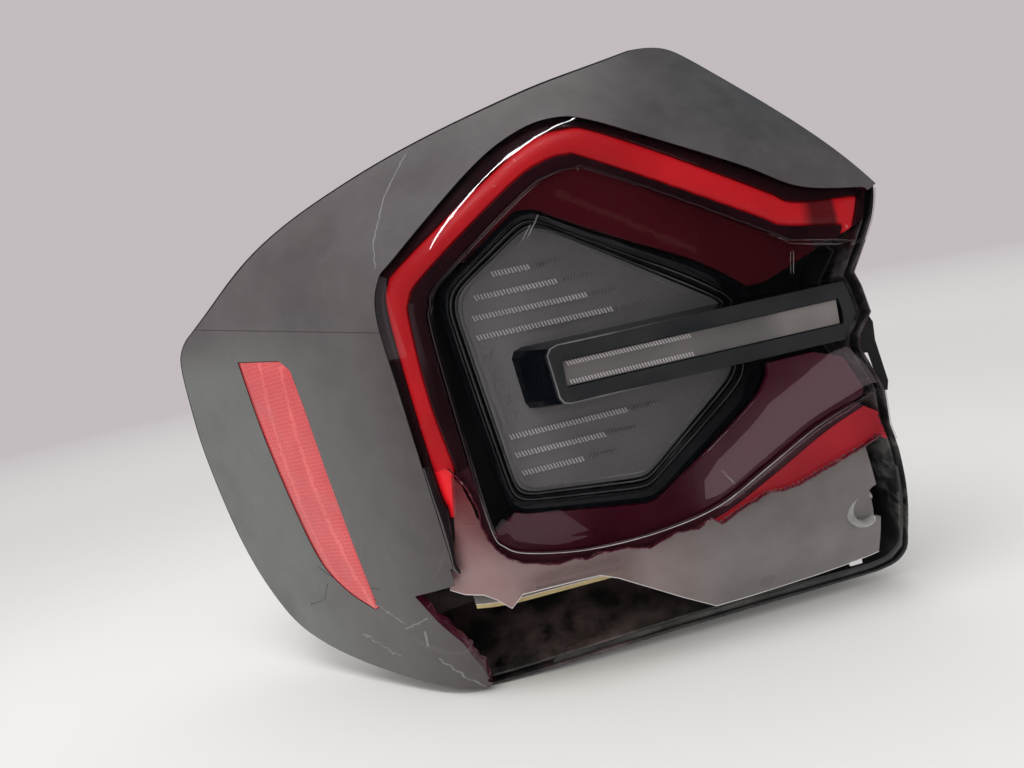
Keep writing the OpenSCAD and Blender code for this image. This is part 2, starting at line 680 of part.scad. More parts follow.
// Dark red panels above and below the optic
stop_front = frame_front + crease_step + 0.9;
stop_wall = 3;
function stop_outer(a) = min(reach(crease, a) + 0.7, open_edge(a) - 11);
function stop_inner(a) = let (clear_of_fin = fin_height / 2 + 2)
    max(reach(optic_edge, a) + bezel_slope + bezel_lip + 1.2,
        clear_of_fin / max(abs(sin(a)), 0.1));

module stop_lens(start, end) {
    color([0.22, 0.01, 0.03])
    swept([for (a = span(start, end))
        let (o = stop_outer(a), i = min(stop_inner(a), o - 2))
        [on_face(a, i, stop_front + stop_wall), on_face(a, i, stop_front),
            on_face(a, o, stop_front), on_face(a, o, stop_front + stop_wall)]], QUARTER);
}

module upper_stop_lens() {
    stop_lens(band_start, 150);
}

module lower_stop_lens() {
    stop_lens(222, 333);
}

// Carrier plate with a wall that rises towards the stop panels
led_grid = fit([for (x = [-45, -15, 15, 45]) for (z = [-40, -8, 24]) [x, z]]);
module carrier_rim() {
    swept([for (a = angles)
        let (r = carrier_reach(a) - 0.2, top = stop_front + stop_wall + 4 * seat)
        [up(a, r - channel_wall, carrier_y + 1), on_face(a, r - channel_wall, top),
            on_face(a, r, top), up(a, r, carrier_y + 1)]], QUARTER, true);
}
carrier_land = 9.6;
function carrier_reach(a) = min(reach(crease, a) - rim_clear, open_edge(a) - carrier_land);
module lamp_carrier() {
    color([0.06, 0.06, 0.065])
    difference() {
        union() {
            plate([for (a = angles) spot(a, carrier_reach(a))], carrier_y, carrier_wall);
            carrier_rim();
        }
        for (p = posts) along_y(p, carrier_y - 1) cylinder(r = 2, h = 8, $fn = 24);
        for (p = led_grid) translate([p[0] - 2.5, carrier_y - 1, p[1] - 2.5]) cube([5, 8, 5]);
        fin_form(fin_gap);
    }
}

board_box = fit([[-58, -50], [60, 56]]);
module stop_led_board() {
    size = board_box[1] - board_box[0];
    color([0.1, 0.3, 0.15])
    translate([board_box[0][0], board_y, board_box[0][1]]) cube([size[0], board_wall, size[1]]);
}

led_size = 3;
led_height = 1.2;
turn_leds = fit([for (i = [0:5]) [-60 + i * 20, -104]]);
module board_leds() {
    color([0.9, 0.85, 0.6]) {
        for (p = led_grid) translate([p[0] - led_size / 2, board_y - led_height,
            p[1] - led_size / 2]) cube([led_size, led_height, led_size]);
        for (p = turn_leds) translate([p[0] - led_size / 2, turn_y - board_wall - led_height,
            p[1] - led_size / 2]) cube([led_size, led_height, led_size]);
    }
}

// Finned block on the back of the stop light's board
sink_base = 3;
sink_fin = 1.6;
sink_pitch = 6;
sink_box = fit([[-26, -20], [46, 42]]);
module heat_sink() {
    size = sink_box[1] - sink_box[0];
    fins = floor((size[0] - sink_fin) / sink_pitch);
    color([0.7, 0.71, 0.72])
    translate([sink_box[0][0], board_y + board_wall, sink_box[0][1]])
    union() {
        cube([size[0], sink_base, size[1]]);
        for (i = [0:fins]) translate([i * sink_pitch, sink_base - 0.5, 0])
            cube([sink_fin, 18, size[1]]);
    }
}

module screw(p, y, r, shank, length) {
    along_y(p, y) {
        difference() {
            union() {
                cylinder(r = r, h = 1.2, $fn = 32);
                translate([0, 0, 1]) cylinder(r = shank, h = length, $fn = 24);
            }
            translate([-r * 0.55, -0.4, -1]) cube([r * 1.1, 0.8, 1.7]);
            translate([-0.4, -r * 0.55, -1]) cube([0.8, r * 1.1, 1.7]);
        }
    }
}

module carrier_screws() {
    color([0.6, 0.6, 0.58])
    for (p = posts) screw(p, carrier_y - 1.2, 3.4, 1.7, carrier_wall);
}

// Frosted sheet that the broken lens lays bare, with the cup for its screw
sheet_lift = lens_wall + 3;
flap_lift = 1.4;
flap_span = [-78, -64];
// Each line runs across the sheet from its upper edge to its lower edge.
sheet_edges = [
    [[-94.8, -40], [-99.8, -76], [-108, -106]], [[-91.5, -45], [-95, -77], [-101, -108.5]],
    [[-87.9, -57], [-89, -79], [-91, -109.5]], [[-86.9, -64], [-84, -86], [-85, -113.5]],
    [[-82, -73], [-78, -120.5]], [[-75, -78], [-71, -113.2]], [[-66, -81], [-60, -113]],
    [[-48, -83], [-45, -113]], [[-30, -85], [-28, -113.3]], [[-18, -85], [-18, -118]],
    [[0, -85], [0, -130]], [[14, -85], [18, -142.5]], [[28, -83], [40, -157]],
    [[50, -76], [62, -156.5]], [[70, -66], [84, -155.5]], [[88, -57], [104, -154.5]],
    [[106, -50], [123, -153]], [[121, -49], [139, -151]], [[128, -49], [144, -150]]];
// The sheet's inboard side is cut out beside the cup.
sheet_notch = [[155, -101], [139.6, -102.1], [134.4, -103.8], [132.5, -105.5], [134, -112],
    [135.5, -121.7], [145, -126], [155, -127]];
tab_at = fit([[125, -152.5]])[0];
sheet_rows = 6;
// The torn upper corner stands forward as a flap.
function flap(p) = p[0] < 0 ? lookup(p[1] / upward(1), [[flap_span[0], 0], [flap_span[1], 1]]) : 0;
function sheet_y(p) =
    let (deep = soft_max([face_plane + diffuser_depth - 2, face_y(p) + sheet_lift], 3))
    deep + (face_y(p) + flap_lift - deep) * flap(p);
function along(e, t) = len(e) == 2 ? e[0] + (e[1] - e[0]) * t
    : t < 0.5 ? e[0] + (e[1] - e[0]) * 2 * t : e[1] + (e[2] - e[1]) * (2 * t - 1);
function pushed(p) =
    let (a = turned(angle_of(p), band_start)) spot(a, max(norm(p - hub), carrier_reach(a) + 1.6));
function sheet_point(edge, t, lift) =
    let (p = along(edge, t)) [p[0], sheet_y(p) + lift, p[1]];
cup_y = sheet_y(cup_at) + 12;

module lower_diffuser() {
    lines = [for (e = sheet_edges) let (f = fit(e))
        concat([pushed(f[0])], [for (i = [1:len(f) - 1]) f[i]])];
    w = diffuser_wall;
    cup_front = sheet_y(cup_at) - 2.5;
    color([0.72, 0.7, 0.7])
    difference() {
        union() {
            swept([for (e = lines) concat(
                [for (i = [0:sheet_rows]) sheet_point(e, i / sheet_rows, 0)],
                [for (i = [sheet_rows:-1:0]) sheet_point(e, i / sheet_rows, w)])],
                [for (i = [0:sheet_rows - 1])
                    [i, i + 1, 2 * sheet_rows - i, 2 * sheet_rows + 1 - i]]);
            along_y(cup_at, cup_front) cylinder(r = cup_r, h = cup_y - cup_front, $fn = 48);
            translate([tab_at[0], sheet_y(tab_at), tab_at[1] - 2.5]) cube([8, w, 3.5]);
        }
        along_y(cup_at, cup_front - 1) cylinder(r = cup_r - w, h = cup_y - cup_front + 1 - w,
            $fn = 48);
        along_y(cup_at, cup_y - 6) cylinder(r = 2, h = 12, $fn = 24);
        plate(fit(sheet_notch), cup_front - 2, cup_y - cup_front + 4);
    }
}

module diffuser_screw() {
    color([0.6, 0.6, 0.58]) screw(cup_at, cup_y - diffuser_wall - 1.2, 3.6, 1.7, diffuser_wall);
}

// Amber bar and the reflector that stands on it
bar_top = upward(-116.8);
bar_ends = [across(-96), across(108)];
bar_steps = 12;
function bar_x(i) = bar_ends[0] + (bar_ends[1] - bar_ends[0]) * i / bar_steps;
module amber_light_bar() {
    back = face_plane + 36 + bar_reach;
    color([0.85, 0.6, 0.2])
    translate([0, 0, bar_top - bar_wall]) linear_extrude(bar_wall)
    polygon(concat([for (i = [0:bar_steps])
        [bar_x(i), max(face_y([bar_x(i), bar_top]) + sheet_lift + 4, face_plane + 27)]],
        [[bar_ends[1], back], [bar_ends[0] + 14, back]]));
}

bowl_front = carrier_y + carrier_wall + 1;
bowl_depth = 24;
bowl_half = 12;
bowl_wall = 1.6;
bowl_axis = bar_top + 0.3 + bowl_half;
turn_y = bowl_front + bowl_depth + board_wall + 0.3;
bowl_ends = [across(-84), across(72)];
function bowl(half, depth) = [for (t = [-1:0.1:1.001]) [bowl_front + depth * (1 - t * t), half * t]];
module turn_reflector() {
    outside = bowl(bowl_half, bowl_depth);
    inside = bowl(bowl_half - bowl_wall, bowl_depth - bowl_wall);
    color([0.85, 0.83, 0.78])
    difference() {
        translate([bowl_ends[0], 0, bowl_axis]) rotate([90, 0, 90])
        linear_extrude(bowl_ends[1] - bowl_ends[0])
        polygon(concat(outside, [for (i = [len(inside) - 1:-1:0]) inside[i]]));
        for (p = turn_leds) translate([p[0] - 2.5, turn_y - 8, p[1] - 2.5]) cube([5, 12, 5]);
    }
}

module turn_led_board() {
    color([0.1, 0.3, 0.15])
    translate([bowl_ends[0] + 8, turn_y - board_wall, turn_leds[0][1] - 7])
    cube([bowl_ends[1] - bowl_ends[0] - 16, board_wall, 14]);
}

// Driver unit on the back of the housing
unit_size = [92, 12, 34];
unit_at = [-46, 8];
unit_screws = [for (x = [5, unit_size[0] - 5]) for (z = [5, unit_size[2] - 5])
    unit_at + [x, z]];
module control_module() {
    color([0.62, 0.63, 0.64])
    difference() {
        union() {
            translate([unit_at[0], back_plate, unit_at[1]])
            cube([unit_size[0], unit_size[1] - 4, unit_size[2]]);
            for (i = [0:9])
                translate([unit_at[0] + 12 + i * 7, back_plate + unit_size[1] - 5, unit_at[1] + 3])
                cube([2.4, 5, unit_size[2] - 6]);
        }
        for (p = unit_screws) along_y(p, back_plate + 3) cylinder(r = 4.2, h = 20, $fn = 32);
        for (p = unit_screws) along_y(p, back_plate - 1) cylinder(r = 1.9, h = 8, $fn = 24);
    }
}

module module_screws() {
    color([0.6, 0.6, 0.58])
    for (p = unit_screws) mirror([0, 1, 0]) screw(p, -back_plate - 3 - 1.2, 3.4, 1.7, 1.8);
}

// Connector socket and its contacts
socket_at = [0, -24];
module connector_socket() {
    w = socket_wall;
    color([0.05, 0.05, 0.05])
    translate([socket_at[0] - socket_width / 2, back_plate, socket_at[1] - socket_height / 2])
    difference() {
        union() {
            cube([socket_width, socket_length, socket_height]);
            translate([-4, 0, -3]) cube([socket_width + 8, 2.5, socket_height + 6]);
            translate([socket_width / 2 - 5, 6, socket_height - 0.5])
            cube([10, socket_length - 10, 2.5]);
        }
        translate([w, 4, w])
        cube([socket_width - 2 * w, socket_length, socket_height - 2 * w]);
    }
}

contact_pitch = 5;
contact_size = 1;
module connector_pins() {
    color([0.75, 0.7, 0.5])
    for (i = [-2.5:1:2.5]) for (z = [-1, 1])
        translate([socket_at[0] + i * contact_pitch - contact_size / 2, back_plate + 4,
            socket_at[1] + z * 4 - contact_size / 2])
        cube([contact_size, contact_length, contact_size]);
}

module vent_cap() {
    color([0.07, 0.07, 0.07])
    along_y(vent_at, back_plate)
    difference() {
        union() {
            cylinder(r = vent_r, h = 4, $fn = 48);
            cylinder(r = vent_r + 2, h = 1.5, $fn = 48);
        }
        for (i = [0:5]) rotate([0, 0, i * 60]) translate([vent_r - 3, -1, 2]) cube([6, 2, 5]);
    }
}

stud_flange_r = 7;
// Room between the flange of a stud and the gasket's inner edge
gasket_room = 3;
gasket_half = [stud_spacing / 2 + stud_flange_r + gasket_room + gasket_width, 58];
gasket_corner = 22;
module gasket_outline(grow) {
    offset(r = gasket_corner + grow, $fn = 48)
    square([2 * (gasket_half[0] - gasket_corner), 2 * (gasket_half[1] - gasket_corner)],
        center = true);
}
module body_gasket() {
    color([0.12, 0.12, 0.12])
    rotate([90, 0, 0]) linear_extrude(gasket_wall)
    difference() {
        gasket_outline(0);
        gasket_outline(-gasket_width);
    }
}

module fixing_studs() {
    color([0.65, 0.64, 0.6])
    for (x = [-1, 1]) along_y([x * stud_spacing / 2, 0], back_plate)
    union() {
        cylinder(r = stud_flange_r, h = 2, $fn = 48);
        cylinder(r = stud_r, h = stud_length - back_plate - 1, $fn = 48);
        translate([0, 0, stud_length - back_plate - 1])
        cylinder(r1 = stud_r, r2 = stud_r - 1, h = 1, $fn = 48);
    }
}

module locating_pin() {
    color([0.8, 0.8, 0.78])
    along_y(pin_at, back_plate)
    union() {
        cylinder(r = pin_r + 3, h = 2, $fn = 48);
        cylinder(r = pin_r, h = pin_length - 3, $fn = 48);
        translate([0, 0, pin_length - 3]) cylinder(r1 = pin_r, r2 = pin_r - 2, h = 3, $fn = 48);
    }
}

// Bracket at the inboard edge, under the nose of the fin: a bar with a rail that runs down
// beside the lens, so that a three-cornered gap is left between them.
bracket_outline = fit([[133.8, -22], [135.3, -16.4], [142.4, -6.4], [144.6, -11], [144.2, -21],
    [148, -44.5], [146.8, -49.5], [144.8, -49.2], [144.5, -45], [141, -27], [135.8, -26.6]]);
bracket_depth = 8;
bracket_wall = 4;
module side_bracket() {
    color([0.03, 0.03, 0.035])
    translate([seat, 0, 0]) plate(bracket_outline, face_plane + bracket_depth, bracket_wall);
}

// Glue that the lost part of the lens left in the groove
module glue_bead() {
    gap = 0.3;
    color([0.3, 0.3, 0.29])
    swept([for (a = span(fragment_end + 5, break_end - 4))
        let (r = reach(rim, a), top = face_y(spot(a, r)) + rim_lift, o = r - ridge_width - gap,
            i = r - ridge_width - groove_width + gap)
        [up(a, i, top + groove_depth - gap), up(a, i, top + 2.5), up(a, o, top + 2.5),
            up(a, o, top + groove_depth - gap)]], QUARTER);
}

rear_housing();
outer_lens();
upper_skin();
lower_skin();
side_reflector();
light_band();
lower_band();
band_frame();
upper_stop_lens();
lower_stop_lens();
inner_bezel();
centre_optic();
fin_body();
fin_strip();
lamp_carrier();
lower_diffuser();
diffuser_screw();
amber_light_bar();
turn_reflector();
turn_led_board();
tail_led_board();
stop_led_board();
board_leds();
heat_sink();
carrier_screws();
control_module();
module_screws();
connector_socket();
connector_pins();
vent_cap();
body_gasket();
fixing_studs();
locating_pin();
side_bracket();
glue_bead();
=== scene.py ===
"""Broken left-hand tail light: smooth shells, finishes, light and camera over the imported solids."""
import math
from bisect import bisect_right

import bmesh
import bpy
from mathutils import Matrix, Vector


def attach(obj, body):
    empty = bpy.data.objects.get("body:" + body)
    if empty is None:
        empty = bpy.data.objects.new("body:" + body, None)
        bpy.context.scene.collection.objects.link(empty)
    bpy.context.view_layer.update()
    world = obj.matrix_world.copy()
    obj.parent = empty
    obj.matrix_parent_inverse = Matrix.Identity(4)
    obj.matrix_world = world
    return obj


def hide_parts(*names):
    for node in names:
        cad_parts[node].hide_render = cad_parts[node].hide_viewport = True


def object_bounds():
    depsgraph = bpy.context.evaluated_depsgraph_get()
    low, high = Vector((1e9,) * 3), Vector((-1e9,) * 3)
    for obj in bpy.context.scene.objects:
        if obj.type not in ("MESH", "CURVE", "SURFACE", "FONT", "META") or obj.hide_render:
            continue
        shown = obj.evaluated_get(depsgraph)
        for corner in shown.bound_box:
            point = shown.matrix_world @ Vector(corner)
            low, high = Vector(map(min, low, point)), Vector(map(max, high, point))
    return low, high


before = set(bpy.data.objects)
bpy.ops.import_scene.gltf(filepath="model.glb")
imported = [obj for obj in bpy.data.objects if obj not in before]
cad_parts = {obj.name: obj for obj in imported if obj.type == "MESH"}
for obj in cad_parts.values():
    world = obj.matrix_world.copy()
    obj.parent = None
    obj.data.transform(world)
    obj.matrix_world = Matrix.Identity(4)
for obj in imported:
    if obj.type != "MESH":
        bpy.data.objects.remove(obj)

CAD_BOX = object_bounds()
MM = 0.001
MERGE_DISTANCE = 2e-6

# ---------------------------------------------------------------- form of the face
# Outlines are drawn in millimetres, across (X) and up (Z), anticlockwise from behind the car.
# Each is measured as a reach from the hub, against the angle from inboard.
HUB = (35.0, 5.0)
FACE_REACH = 130.0
LENS_WALL = 3.0
SKIN_WALL = 0.5
CREASE_STEP = 1.2
FRAME_FRONT = 3.4
CHANNEL_DEPTH = 10.0
CHANNEL_WALL = 1.6
LENS_INSET = 2.4
OPEN_INSET = 8.2
BACK_PLANE = -6.0


def curve(points, steps):
    """A smooth line through the points, with so many steps between each two."""
    last = len(points) - 1
    line = []
    for i in range(last):
        near = [points[max(i - 1, 0)], points[i], points[i + 1], points[min(i + 2, last)]]
        for s in range(steps):
            t = s / steps
            weights = (-t + 2 * t * t - t ** 3, 2 - 5 * t * t + 3 * t ** 3,
                       t + 4 * t * t - 3 * t ** 3, -t * t + t ** 3)
            line.append(tuple(0.5 * sum(w * p[k] for w, p in zip(weights, near))
                              for k in (0, 1)))
    return line + [points[last]]


def straight(points, steps):
    """The same points joined by straight runs."""
    line = []
    for a, b in zip(points, points[1:]):
        line += [(a[0] + (b[0] - a[0]) * s / steps, a[1] + (b[1] - a[1]) * s / steps)
                 for s in range(steps)]
    return line + [points[-1]]


def bearing(point, start=-180.0):
    angle = math.degrees(math.atan2(point[1] - HUB[1], point[0] - HUB[0]))
    return angle - 360 * math.floor((angle - start + 0.001) / 360)


class Outline:
    """How far an outline reaches from the hub at each angle."""

    def __init__(self, points, closed=False):
        start = bearing(points[0])
        self.angles = [bearing(p, start) for p in points]
        self.reaches = [math.dist(p, HUB) for p in points]
        if closed:
            self.angles.append(start + 360)
            self.reaches.append(self.reaches[0])
        self.first = start - (0 if closed else 60)

    def at(self, angle):
        angle -= 360 * math.floor((angle - self.first + 0.001) / 360)
        k = bisect_right(self.angles, angle)
        if k == 0 or k == len(self.angles):
            return self.reaches[min(k, len(self.angles) - 1)]
        low, high = self.angles[k - 1], self.angles[k]
        t = (angle - low) / max(high - low, 1e-6)
        return self.reaches[k - 1] + t * (self.reaches[k] - self.reaches[k - 1])


RIM_INBOARD = [
    (160, -140), (149, -83), (145, -68), (144.5, -49), (133.5, -22.5), (135, -16), (143, -5),
    (140, 10), (137, 18), (154, 45)]
RIM = Outline(
    curve([(160, 62), (128, 110), (96, 153)], 12)
    + curve([(96, 153), (86, 164), (75, 168), (60, 167)], 8)
    + curve([(60, 167), (9, 153), (-69, 138), (-118, 124), (-163, 105), (-215, 72),
             (-238, 58)], 10)
    + curve([(-238, 58), (-246, 46), (-248, 18), (-247, -21), (-238, -79), (-224, -120),
             (-205, -146), (-166, -163), (-100, -174)], 10)
    + curve([(-100, -174), (27, -167), (146, -166)], 16)
    + curve([(146, -166), (158, -163), (163, -154), (160, -140)], 6)
    + straight(RIM_INBOARD, 10)[:-1], closed=True)
GLOSS = Outline(curve([
    (153, 60), (114, 67), (84, 84), (36, 109), (13, 121), (-2, 126), (-23, 124), (-51, 110),
    (-99, 73), (-109, 64), (-114, 45), (-111, 3), (-105, -75), (-104, -98)], 8))
BAND_OUTER = Outline(curve([
    (148, 57), (112, 60), (99, 67), (77, 80), (16, 115), (-1, 120), (-20, 117), (-50, 100),
    (-97, 69), (-105, 61), (-108, 47), (-106, 2), (-102, -47), (-99.5, -61), (-101.2, -88),
    (-102.8, -97)], 8))
BAND_INNER = Outline(curve([
    (144, 42), (103, 49), (86, 58), (7, 102), (-3, 106), (-16, 105), (-36, 96), (-86, 62),
    (-96, 51), (-98, 39), (-97, 1), (-92, -37), (-90, -56)], 8))
CREASE = Outline(curve([
    (146, 33), (107, 40), (92, 47), (10, 94), (-2, 98), (-15, 97), (-32, 90), (-80, 57),
    (-87, 46), (-89, 33), (-85, -30), (-81, -72), (-76, -82), (-65, -88), (-33, -94), (5, -94),
    (39, -88), (70, -73), (101, -58), (132, -48), (150, -40), (150, 0), (150, 30)], 8),
    closed=True)
SIDE_INNER = Outline(straight([
    (150, 70), (60, 132), (-20, 136), (-80, 110), (-140, 70), (-176, 37), (-168, 28), (-165, 4),
    (-161, -38), (-156, -82), (-151, -119), (-128, -109), (-118, -125), (-107, -138),
    (-104, -146), (-99, -157), (-98, -173)], 6))
REFLECTOR_OUTER = Outline(curve([
    (-201, 38), (-197, -5), (-190, -50), (-181, -90), (-168, -110), (-153, -121)], 8))
BROKEN = Outline(straight([
    (-96, -36), (-92.8, -41), (-89.4, -46.7), (-86.5, -56.4), (-85.5, -63.3), (-85.8, -69.2),
    (-84, -76.2), (-81, -82.5), (-75.5, -89), (-68.6, -93), (-58.5, -96), (-50.5, -98.5),
    (-42.2, -97), (-36, -99.5), (-29, -98), (-14, -98.5), (-1, -102), (14, -97), (27, -98),
    (34, -94), (40, -99), (53, -93), (61, -91), (68, -88), (77, -89), (86, -88), (93, -86),
    (99, -84), (107, -82), (116, -79), (126, -76), (137, -72)], 3))
OPTIC = [
    (-29, 76), (-66, 53), (-71, 48), (-73, 40), (-72, 31), (-62, -54), (-60, -59), (-55, -62),
    (6, -69), (12, -68), (66, -27), (71, -20), (72, 10), (69, 17), (62, 22), (-20, 75)]


def rounded(corners, radius, steps=5):
    """A closed outline with each of its corners rounded."""
    line = []
    for before, corner, after in zip(corners[-1:] + corners[:-1], corners,
                                     corners[1:] + corners[:1]):
        ends = []
        for other in (before, after):
            length = math.dist(corner, other)
            share = min(radius, length / 2) / length
            ends.append([c + (o - c) * share for c, o in zip(corner, other)])
        for k in range(steps + 1):
            t = k / steps
            line.append(tuple((1 - t) ** 2 * a + 2 * t * (1 - t) * c + t * t * b
                              for a, c, b in zip(ends[0], corner, ends[1])))
    return line


OPTIC_EDGE = Outline(straight(OPTIC + OPTIC[:1], 16)[:-1], closed=True)
OPTIC_LINE = Outline(straight(rounded(OPTIC, 7) + rounded(OPTIC, 7)[:1], 24)[:-1], closed=True)

BAND_START = bearing((154, 46))
SKIN_START = bearing((160, 62))
SEAM = bearing((-200, 57.5), BAND_START)
REFLECTOR_START = bearing((-200, 38), BAND_START)
BAND_BREAK = bearing((-96, -36), BAND_START)
REFLECTOR_END = bearing((-153, -121), BAND_START)
STRIP_BREAK = bearing((-104, -93), BAND_START)
FRAGMENT_END = bearing((-99, -173), BAND_START)
BREAK_END = bearing((137, -72), BAND_START)
CORNERS = sorted([BAND_START, SKIN_START, SEAM, REFLECTOR_START, BAND_BREAK, REFLECTOR_END,
                  STRIP_BREAK, FRAGMENT_END, BREAK_END]
                 + [bearing(p, BAND_START) for p in RIM_INBOARD]
                 + [bearing(p, BAND_START) for p in ((158, -163), (163, -154))])
FINE = 0.75


def soft_max(values, width):
    top = max(values)
    return top + width * math.log(sum(math.exp((v - top) / width) for v in values))


def face_y(x, z):
    """Depth of the face, as Y, at a place on the outline drawing."""
    crown = (x - 60) ** 2 / 5000 + z * z / 3200
    side = -math.cos(math.radians(6)) * (x + 104) - math.sin(math.radians(6)) * (z - 50)
    corner = -math.cos(math.radians(60)) * (x + 18) + math.sin(math.radians(60)) * (z - 118)
    top = math.sin(math.radians(19)) * (x - 160) + math.cos(math.radians(19)) * (z - 68)
    foot = -110 - z
    return -FACE_REACH + crown + soft_max((0, 0.98 * side, 1.2 * corner, 0.9 * top,
                                           0.55 * foot), 9)


def spot(angle, reach):
    turn = math.radians(angle)
    return HUB[0] + reach * math.cos(turn), HUB[1] + reach * math.sin(turn)


def on_face(angle, reach, depth):
    """A point so deep under the face, in metres."""
    x, z = spot(angle, reach)
    return Vector((x, face_y(x, z) + depth, z)) * MM


def upright(angle, reach, y):
    x, z = spot(angle, reach)
    return Vector((x, y, z)) * MM


def stations(start, end, step=FINE):
    """Angles from start to end, with every corner of the outlines among them."""
    stops = [start] + [c + turn for turn in (-360, 0, 360) for c in CORNERS
                       if start + 0.2 < c + turn < end - 0.2] + [end]
    stops.sort()
    angles = []
    for a, b in zip(stops, stops[1:]):
        count = max(1, math.ceil((b - a) / step))
        angles += [a + (b - a) * s / count for s in range(count)]
    return angles + [end]


def torn(angle):
    return BAND_BREAK - 0.01 < angle < BREAK_END + 0.01


def lens_edge(angle):
    return RIM.at(angle) - LENS_INSET


def open_edge(angle):
    """The furthest that a piece behind the lens may reach."""
    return RIM.at(angle) - OPEN_INSET


def band_outer(angle):
    most = 165 if angle > BAND_BREAK else 999
    return min(open_edge(angle) - 5.5, BAND_OUTER.at(angle), most)


def band_inner(angle):
    return min(band_outer(angle) - 9, BAND_INNER.at(angle))


# ---------------------------------------------------------------- making pieces
def merge(bm):
    bmesh.ops.remove_doubles(bm, verts=bm.verts, dist=MERGE_DISTANCE)


def placed(name, bm, *materials):
    """An object of the scene, made from a bmesh."""
    mesh = bpy.data.meshes.new(name)
    bm.to_mesh(mesh)
    bm.free()
    for material in materials:
        mesh.materials.append(material)
    thing = bpy.data.objects.new(name, mesh)
    bpy.context.scene.collection.objects.link(thing)
    return thing


def piece(name, bm, slot, node, *finishes, smooth=38, bevel=0.0):
    """Turns a finished bmesh into a piece that rides on the lamp and stands for a CAD node."""
    merge(bm)
    bmesh.ops.recalc_face_normals(bm, faces=bm.faces)
    thing = placed(name, bm, *(FINISHES[finish] for finish in finishes))
    mesh = thing.data
    mesh.polygons.foreach_set("use_smooth", [True] * len(mesh.polygons))
    mesh.set_sharp_from_angle(angle=math.radians(smooth))
    if bevel:
        rounding = thing.modifiers.new("rounded edges", "BEVEL")
        rounding.width = bevel * MM
        rounding.segments = 2
        rounding.limit_method = "ANGLE"
        rounding.angle_limit = math.radians(38)
        rounding.harden_normals = False
    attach(thing, "root")
    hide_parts(node)


def laid_grid(angles, rows, place):
    """A grid with its corner k, j moved to place(angles[k], j)."""
    bm = bmesh.new()
    bmesh.ops.create_grid(bm, x_segments=len(angles) - 1, y_segments=rows - 1, size=1)
    for vert in bm.verts:
        k = round((vert.co.x + 1) / 2 * (len(angles) - 1))
        j = round((vert.co.y + 1) / 2 * (rows - 1))
        vert.co = place(angles[k], j)
    return bm


def thicken(bm, wall):
    """Gives a sheet a wall, towards the front of the car."""
    back = bmesh.ops.extrude_face_region(bm, geom=bm.faces[:], use_keep_orig=True)["geom"]
    shift = Vector((0, wall * MM, 0))
    bmesh.ops.translate(bm, verts=[g for g in back if isinstance(g, bmesh.types.BMVert)],
                        vec=shift)
    return bm


def closed(bm):
    """Merges the seams of a form and caps its open ends."""
    merge(bm)
    bmesh.ops.holes_fill(bm, edges=[e for e in bm.edges if e.is_boundary], sides=0)
    return bm


def swept(stops, section):
    """A closed section carried along the stops, with any open ends capped."""
    rows = len(section(stops[0])) + 1
    return closed(laid_grid(stops, rows, lambda a, j: section(a)[j % (rows - 1)]))


def box(bm, low, high):
    """Adds a box between two corners, in millimetres."""
    size = [(h - l) * MM for l, h in zip(low, high)]
    centre = [(h + l) / 2 * MM for l, h in zip(low, high)]
    bmesh.ops.create_cube(bm, size=1, matrix=Matrix.Translation(centre)
                          @ Matrix.Diagonal((*size, 1)))


def drum(bm, at, y, radius, length):
    """Adds a round bar along Y from y, in millimetres."""
    place = (Matrix.Translation(Vector((at[0], y + length / 2, at[1])) * MM)
             @ Matrix.Rotation(math.radians(-90), 4, "X"))
    bmesh.ops.create_cone(bm, cap_ends=True, segments=48, radius1=radius * MM,
                          radius2=radius * MM, depth=length * MM, matrix=place)


def turned(bm, at, profile, steps=64):
    """Adds a form turned about Y from a profile of radius and y, in millimetres."""
    bmesh.ops.create_vert(bm, co=(0, 0, 0))
    bm.verts.ensure_lookup_table()
    centre = Vector((at[0], 0, at[1])) * MM
    line = [bm.verts[-1]]
    line[0].co = centre + Vector((profile[0][0], profile[0][1], 0)) * MM
    for radius, y in profile[1:]:
        new = bmesh.ops.extrude_vert_indiv(bm, verts=[line[-1]])["verts"][0]
        new.co = centre + Vector((radius, y, 0)) * MM
        line.append(new)
    edges = [e for v in line for e in v.link_edges if e.other_vert(v) in line]
    bmesh.ops.spin(bm, geom=line + list(set(edges)), cent=centre, axis=(0, 1, 0),
                   angle=math.tau, steps=steps, use_merge=True)


def cut_inside(bm, corners, near):
    """Cuts the outline of a convex hole, drawn anticlockwise, out of a sheet."""
    for (x0, z0), (x1, z1) in zip(corners, corners[1:] + corners[:1]):
        faces = [f for f in bm.faces if near(f.calc_center_median() / MM)]
        geom = faces + list({e for f in faces for e in f.edges}) + list(
            {v for f in faces for v in f.verts})
        bmesh.ops.bisect_plane(bm, geom=geom, dist=1e-7, plane_co=Vector((x0, 0, z0)) * MM,
                               plane_no=Vector((z1 - z0, 0, x0 - x1)).normalized())
    gone = []
    for face in bm.faces:
        c = face.calc_center_median() / MM
        if all((x1 - x0) * (c.z - z0) - (z1 - z0) * (c.x - x0) > 0
               for (x0, z0), (x1, z1) in zip(corners, corners[1:] + corners[:1])):
            gone.append(face)
    bmesh.ops.delete(bm, geom=gone, context="FACES")


